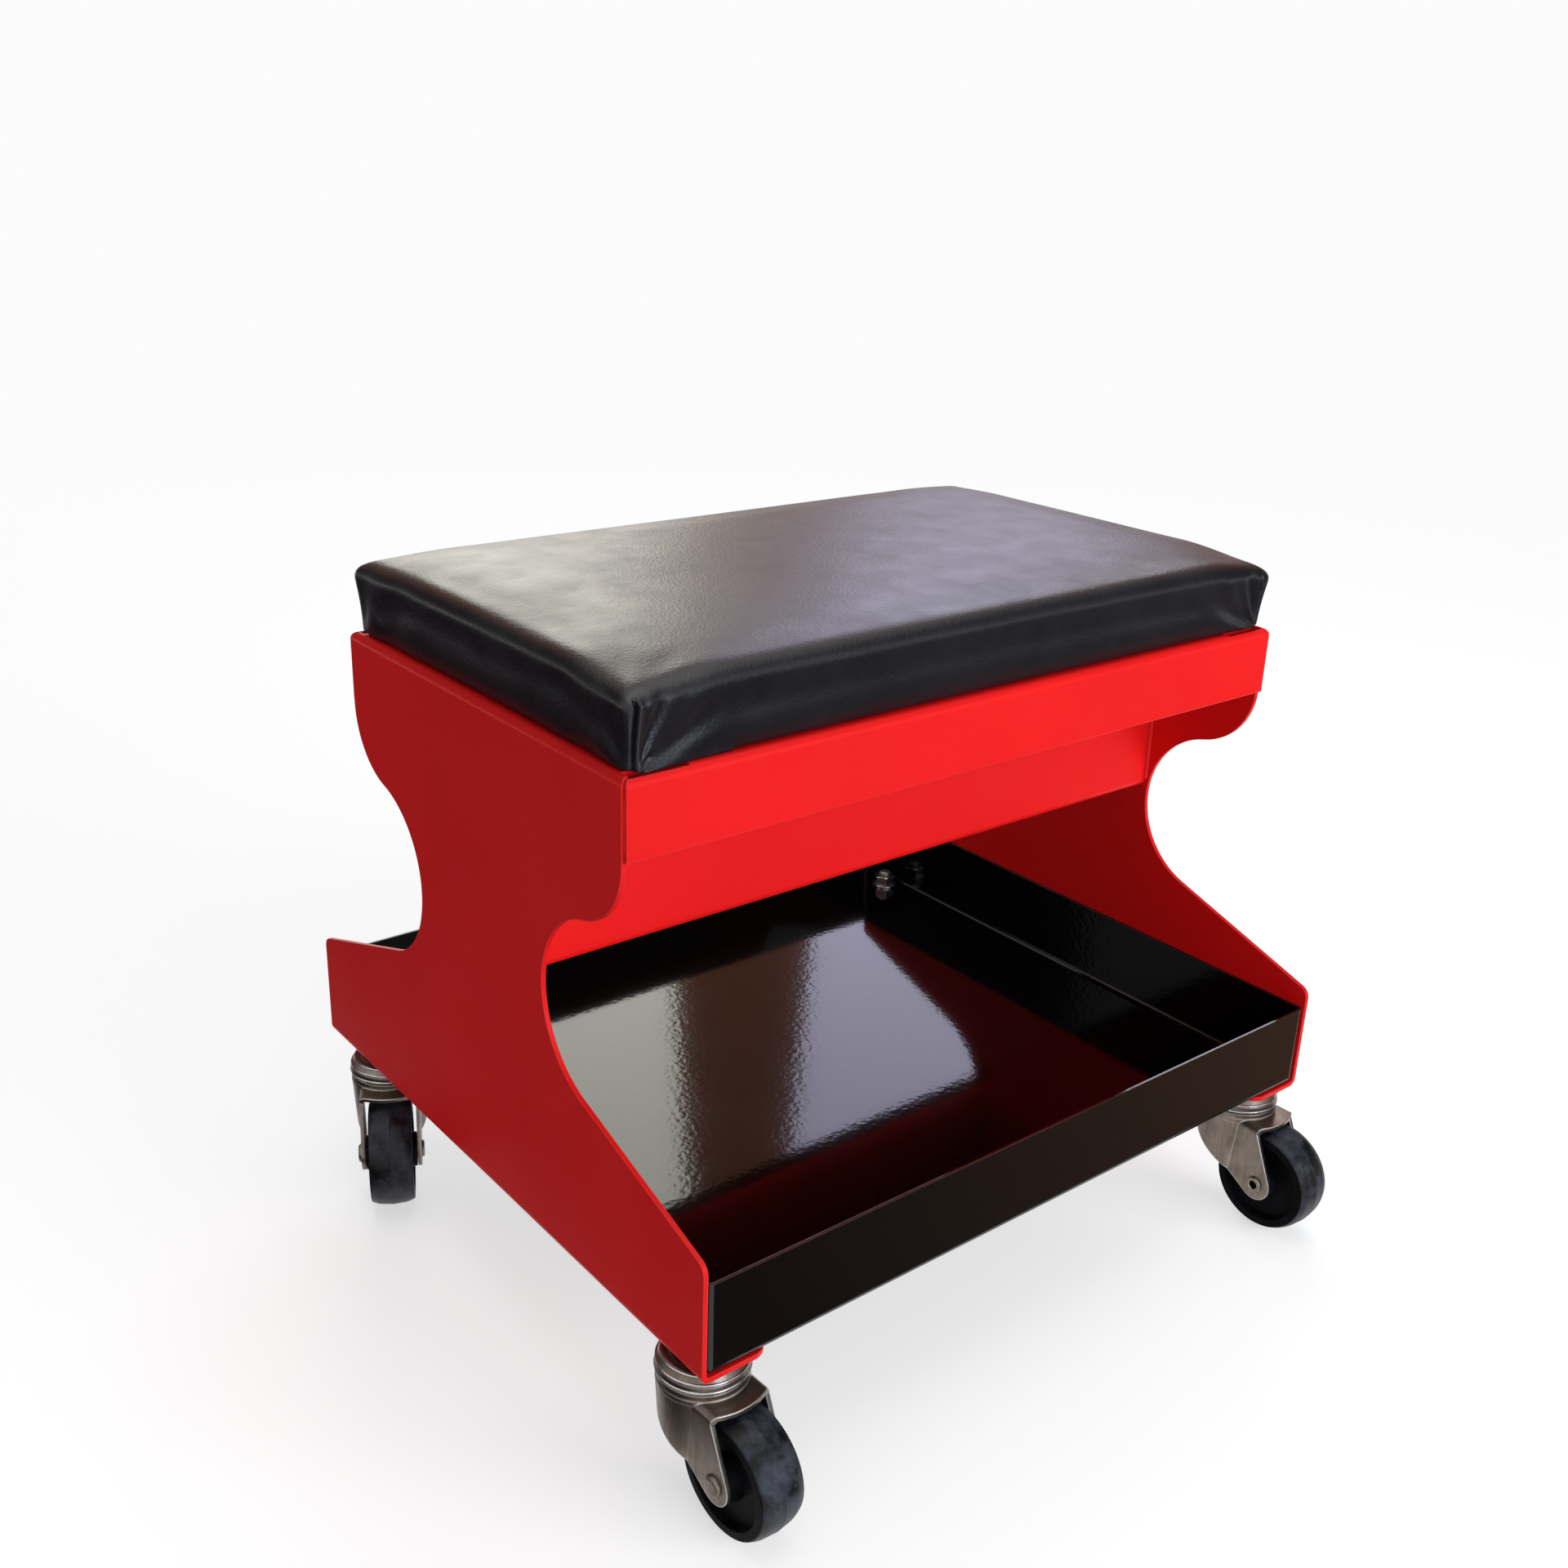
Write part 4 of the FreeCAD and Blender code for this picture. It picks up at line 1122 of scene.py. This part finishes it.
@dataclass
class Studio:
    """The floor, the lights, the glowing cards that paint dark and warm reflections, and the camera."""

    camera_place: tuple[float, float, float] = (-0.572189, -0.661777, 0.603347)
    camera_turn_deg: tuple[float, float, float] = (68.8497, -1.8750, -38.4439)
    lens_mm: float = 37.961
    floor_half: float = 40.0
    pale: float = 0.97
    ambient: float = 0.30
    window_distance: float = 5.0
    aim_height: float = 0.25
    low_card_height: float = 6.0 * MM
    reflection_card_distance: float = 8.2
    reflection_card_low: float = 0.7
    reflection_card_high: float = 8.5

    def sheet(self, name: str, corners: Iterable[Iterable[float]], finish: Finish) -> Piece:
        """Stand or lay one flat rectangle, given by its corners, that belongs to the studio."""
        made = mesh_object(name, [Vector(corner) for corner in corners], [(0, 1, 2, 3)])
        finish.cover(made)
        return made

    def floor(self) -> None:
        """Lay the pale floor."""
        reach = self.floor_half
        corners = [(x * reach, y * reach, 0.0) for x, y in ((-1, -1), (1, -1), (1, 1), (-1, 1))]
        self.sheet("floor", corners, PaleFloor("pale_floor", backdrop=self.pale))

    def card(self, name: str, corners: Iterable[Iterable[float]], left: tuple[float, float, float],
             right: tuple[float, float, float]) -> None:
        """Set one glowing card, a painted reflection that shiny surfaces show and nothing else does."""
        made = self.sheet(name, corners, GlowingReflectionCard(name, colour(*left), colour(*right)))
        made.visible_camera = False
        made.visible_diffuse = False
        made.visible_shadow = False

    def cards(self) -> None:
        """Lay the glowing cards that paint reflections in front and on the left, and stand those behind the
        windows.
        """
        near_y, far_y = -0.25, -0.46
        # Painted reflections: dark glowing cards in front and on the left, the near card warmer at its right
        # end.
        for name, x, y, left, right in (
                ("near_card", (-0.18, 3.0), (far_y, near_y), (0.08, 0.05, 0.045), (0.34, 0.19, 0.12)),
                ("front_card", (-0.15, 3.0), (-3.2, far_y), (0.04, 0.045, 0.065), (0.05, 0.06, 0.09)),
                ("left_card", (-2.6, -0.25), (near_y, 3.0), (0.03, 0.012, 0.022), (0.03, 0.012, 0.022))):
            round_it = ((x[0], y[0]), (x[1], y[0]), (x[1], y[1]), (x[0], y[1]))
            self.card(name, [(*place, self.low_card_height) for place in round_it], left, right)
        low, high = self.reflection_card_low, self.reflection_card_high
        # Painted reflections: the rear card glows warm brown, the side cards dark.
        for name, start, end, tint in (("rear_left_card", -50.0, -8.0, (0.05, 0.04, 0.045)),
                                       ("rear_card", -8.0, 80.0, (0.38, 0.15, 0.085)),
                                       ("right_card", 80.0, 135.0, (0.05, 0.05, 0.06))):
            round_it = ((start, low), (end, low), (end, high), (start, high))
            corners = [self.around(turn, self.reflection_card_distance, height) for turn, height in round_it]
            self.card(name, corners, tint, tint)

    def around(self, turn_deg: float, distance: float, height: float) -> Vector:
        """A place round the seat: its bearing from the rear towards the right, its distance and height."""
        turn = math.radians(turn_deg)
        return Vector((distance * math.sin(turn), distance * math.cos(turn), height))

    def world(self) -> None:
        """Light the object evenly and show a pale background to the camera and in reflections."""
        world = bpy.data.worlds.new("studio")
        bpy.context.scene.world = world
        world.use_nodes = True
        nodes = Nodes(world.node_tree)
        background = nodes.node("ShaderNodeBackground")
        strength = nodes.span(nodes.seen_directly(), 0.0, 1.0, self.ambient, self.pale)
        nodes.join(strength, background.inputs["Strength"])
        background.inputs["Color"].default_value = colour(1.0, 1.0, 1.0)
        output = nodes.node("ShaderNodeOutputWorld")
        nodes.join(background.outputs[0], output.inputs["Surface"])

    def lamp(self, name: str, place: Vector, aim: Vector, size: tuple[float, float], power: float,
             tint: tuple[float, float, float] = (1.0, 1.0, 1.0), mirrored: bool = True) -> None:
        """Hang one soft area lamp.

        Args:
            name: The lamp's name.
            place: Where it hangs.
            aim: What it points at.
            size: Its width and height in metres.
            power: Its power in watts.
            tint: Its colour.
            mirrored: Whether shiny surfaces show it.
        """
        light = bpy.data.lights.new(name, "AREA")
        light.shape = "RECTANGLE"
        light.size, light.size_y = size
        light.energy = power
        light.color = tint
        made = bpy.data.objects.new(name, light)
        bpy.context.scene.collection.objects.link(made)
        made.location = place
        made.rotation_euler = (aim - place).to_track_quat("-Z", "Y").to_euler()
        made.visible_camera = False
        made.visible_glossy = mirrored

    def camera(self) -> None:
        """Stand the camera where the photograph was taken from."""
        data = bpy.data.cameras.new("camera")
        data.sensor_width = 36.0
        data.lens = self.lens_mm
        data.clip_start, data.clip_end = 0.01, 200.0
        made = bpy.data.objects.new("camera", data)
        bpy.context.scene.collection.objects.link(made)
        made.location = self.camera_place
        made.rotation_euler = [math.radians(turn) for turn in self.camera_turn_deg]
        bpy.context.scene.camera = made

    def build(self) -> None:
        """Set the whole studio up."""
        self.floor()
        self.world()
        self.cards()
        seat, away = Vector((0, 0, self.aim_height)), self.window_distance
        self.lamp("key", Vector((1.0, -2.4, 0.9)), seat, (1.6, 1.2), 38.0, mirrored=False)
        self.lamp("fill", Vector((-1.1, -2.2, 0.45)), seat, (0.8, 0.6), 9.0, mirrored=False)
        self.lamp("side_window", self.around(59.0, away, 3.2), seat, (0.7, 1.3), 14.0, (0.85, 0.92, 1.0))
        self.lamp("glint", Vector((-0.1, -2.6, 0.6)), seat, (1.0, 0.8), 16.0, (0.7, 0.8, 1.0))
        self.lamp("sky", Vector((0, 0, 2.7)), seat, (2.0, 2.0), 15.0)
        self.lamp("warm_window", self.around(24.7, away, 2.4), seat, (1.62, 3.2), 57.0, (0.96, 1.0, 0.92))
        self.lamp("cool_window", self.around(46.9, away, 2.7), seat, (1.16, 2.6), 30.5, (0.69, 0.74, 1.0))
        self.camera()
        bpy.context.scene.view_settings.view_transform = "Standard"


def main() -> None:
    """Build the seat's looks, sub-assembly by sub-assembly, and the studio round it."""
    logging.basicConfig(level=logging.INFO, format="%(name)s: %(message)s")
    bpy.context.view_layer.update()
    SeatFrame().build()
    ToolTray().build()
    Cushion().build()
    for corner in Corner:
        Caster(corner).build()
    Studio().build()


if __name__ == "__main__":
    main()
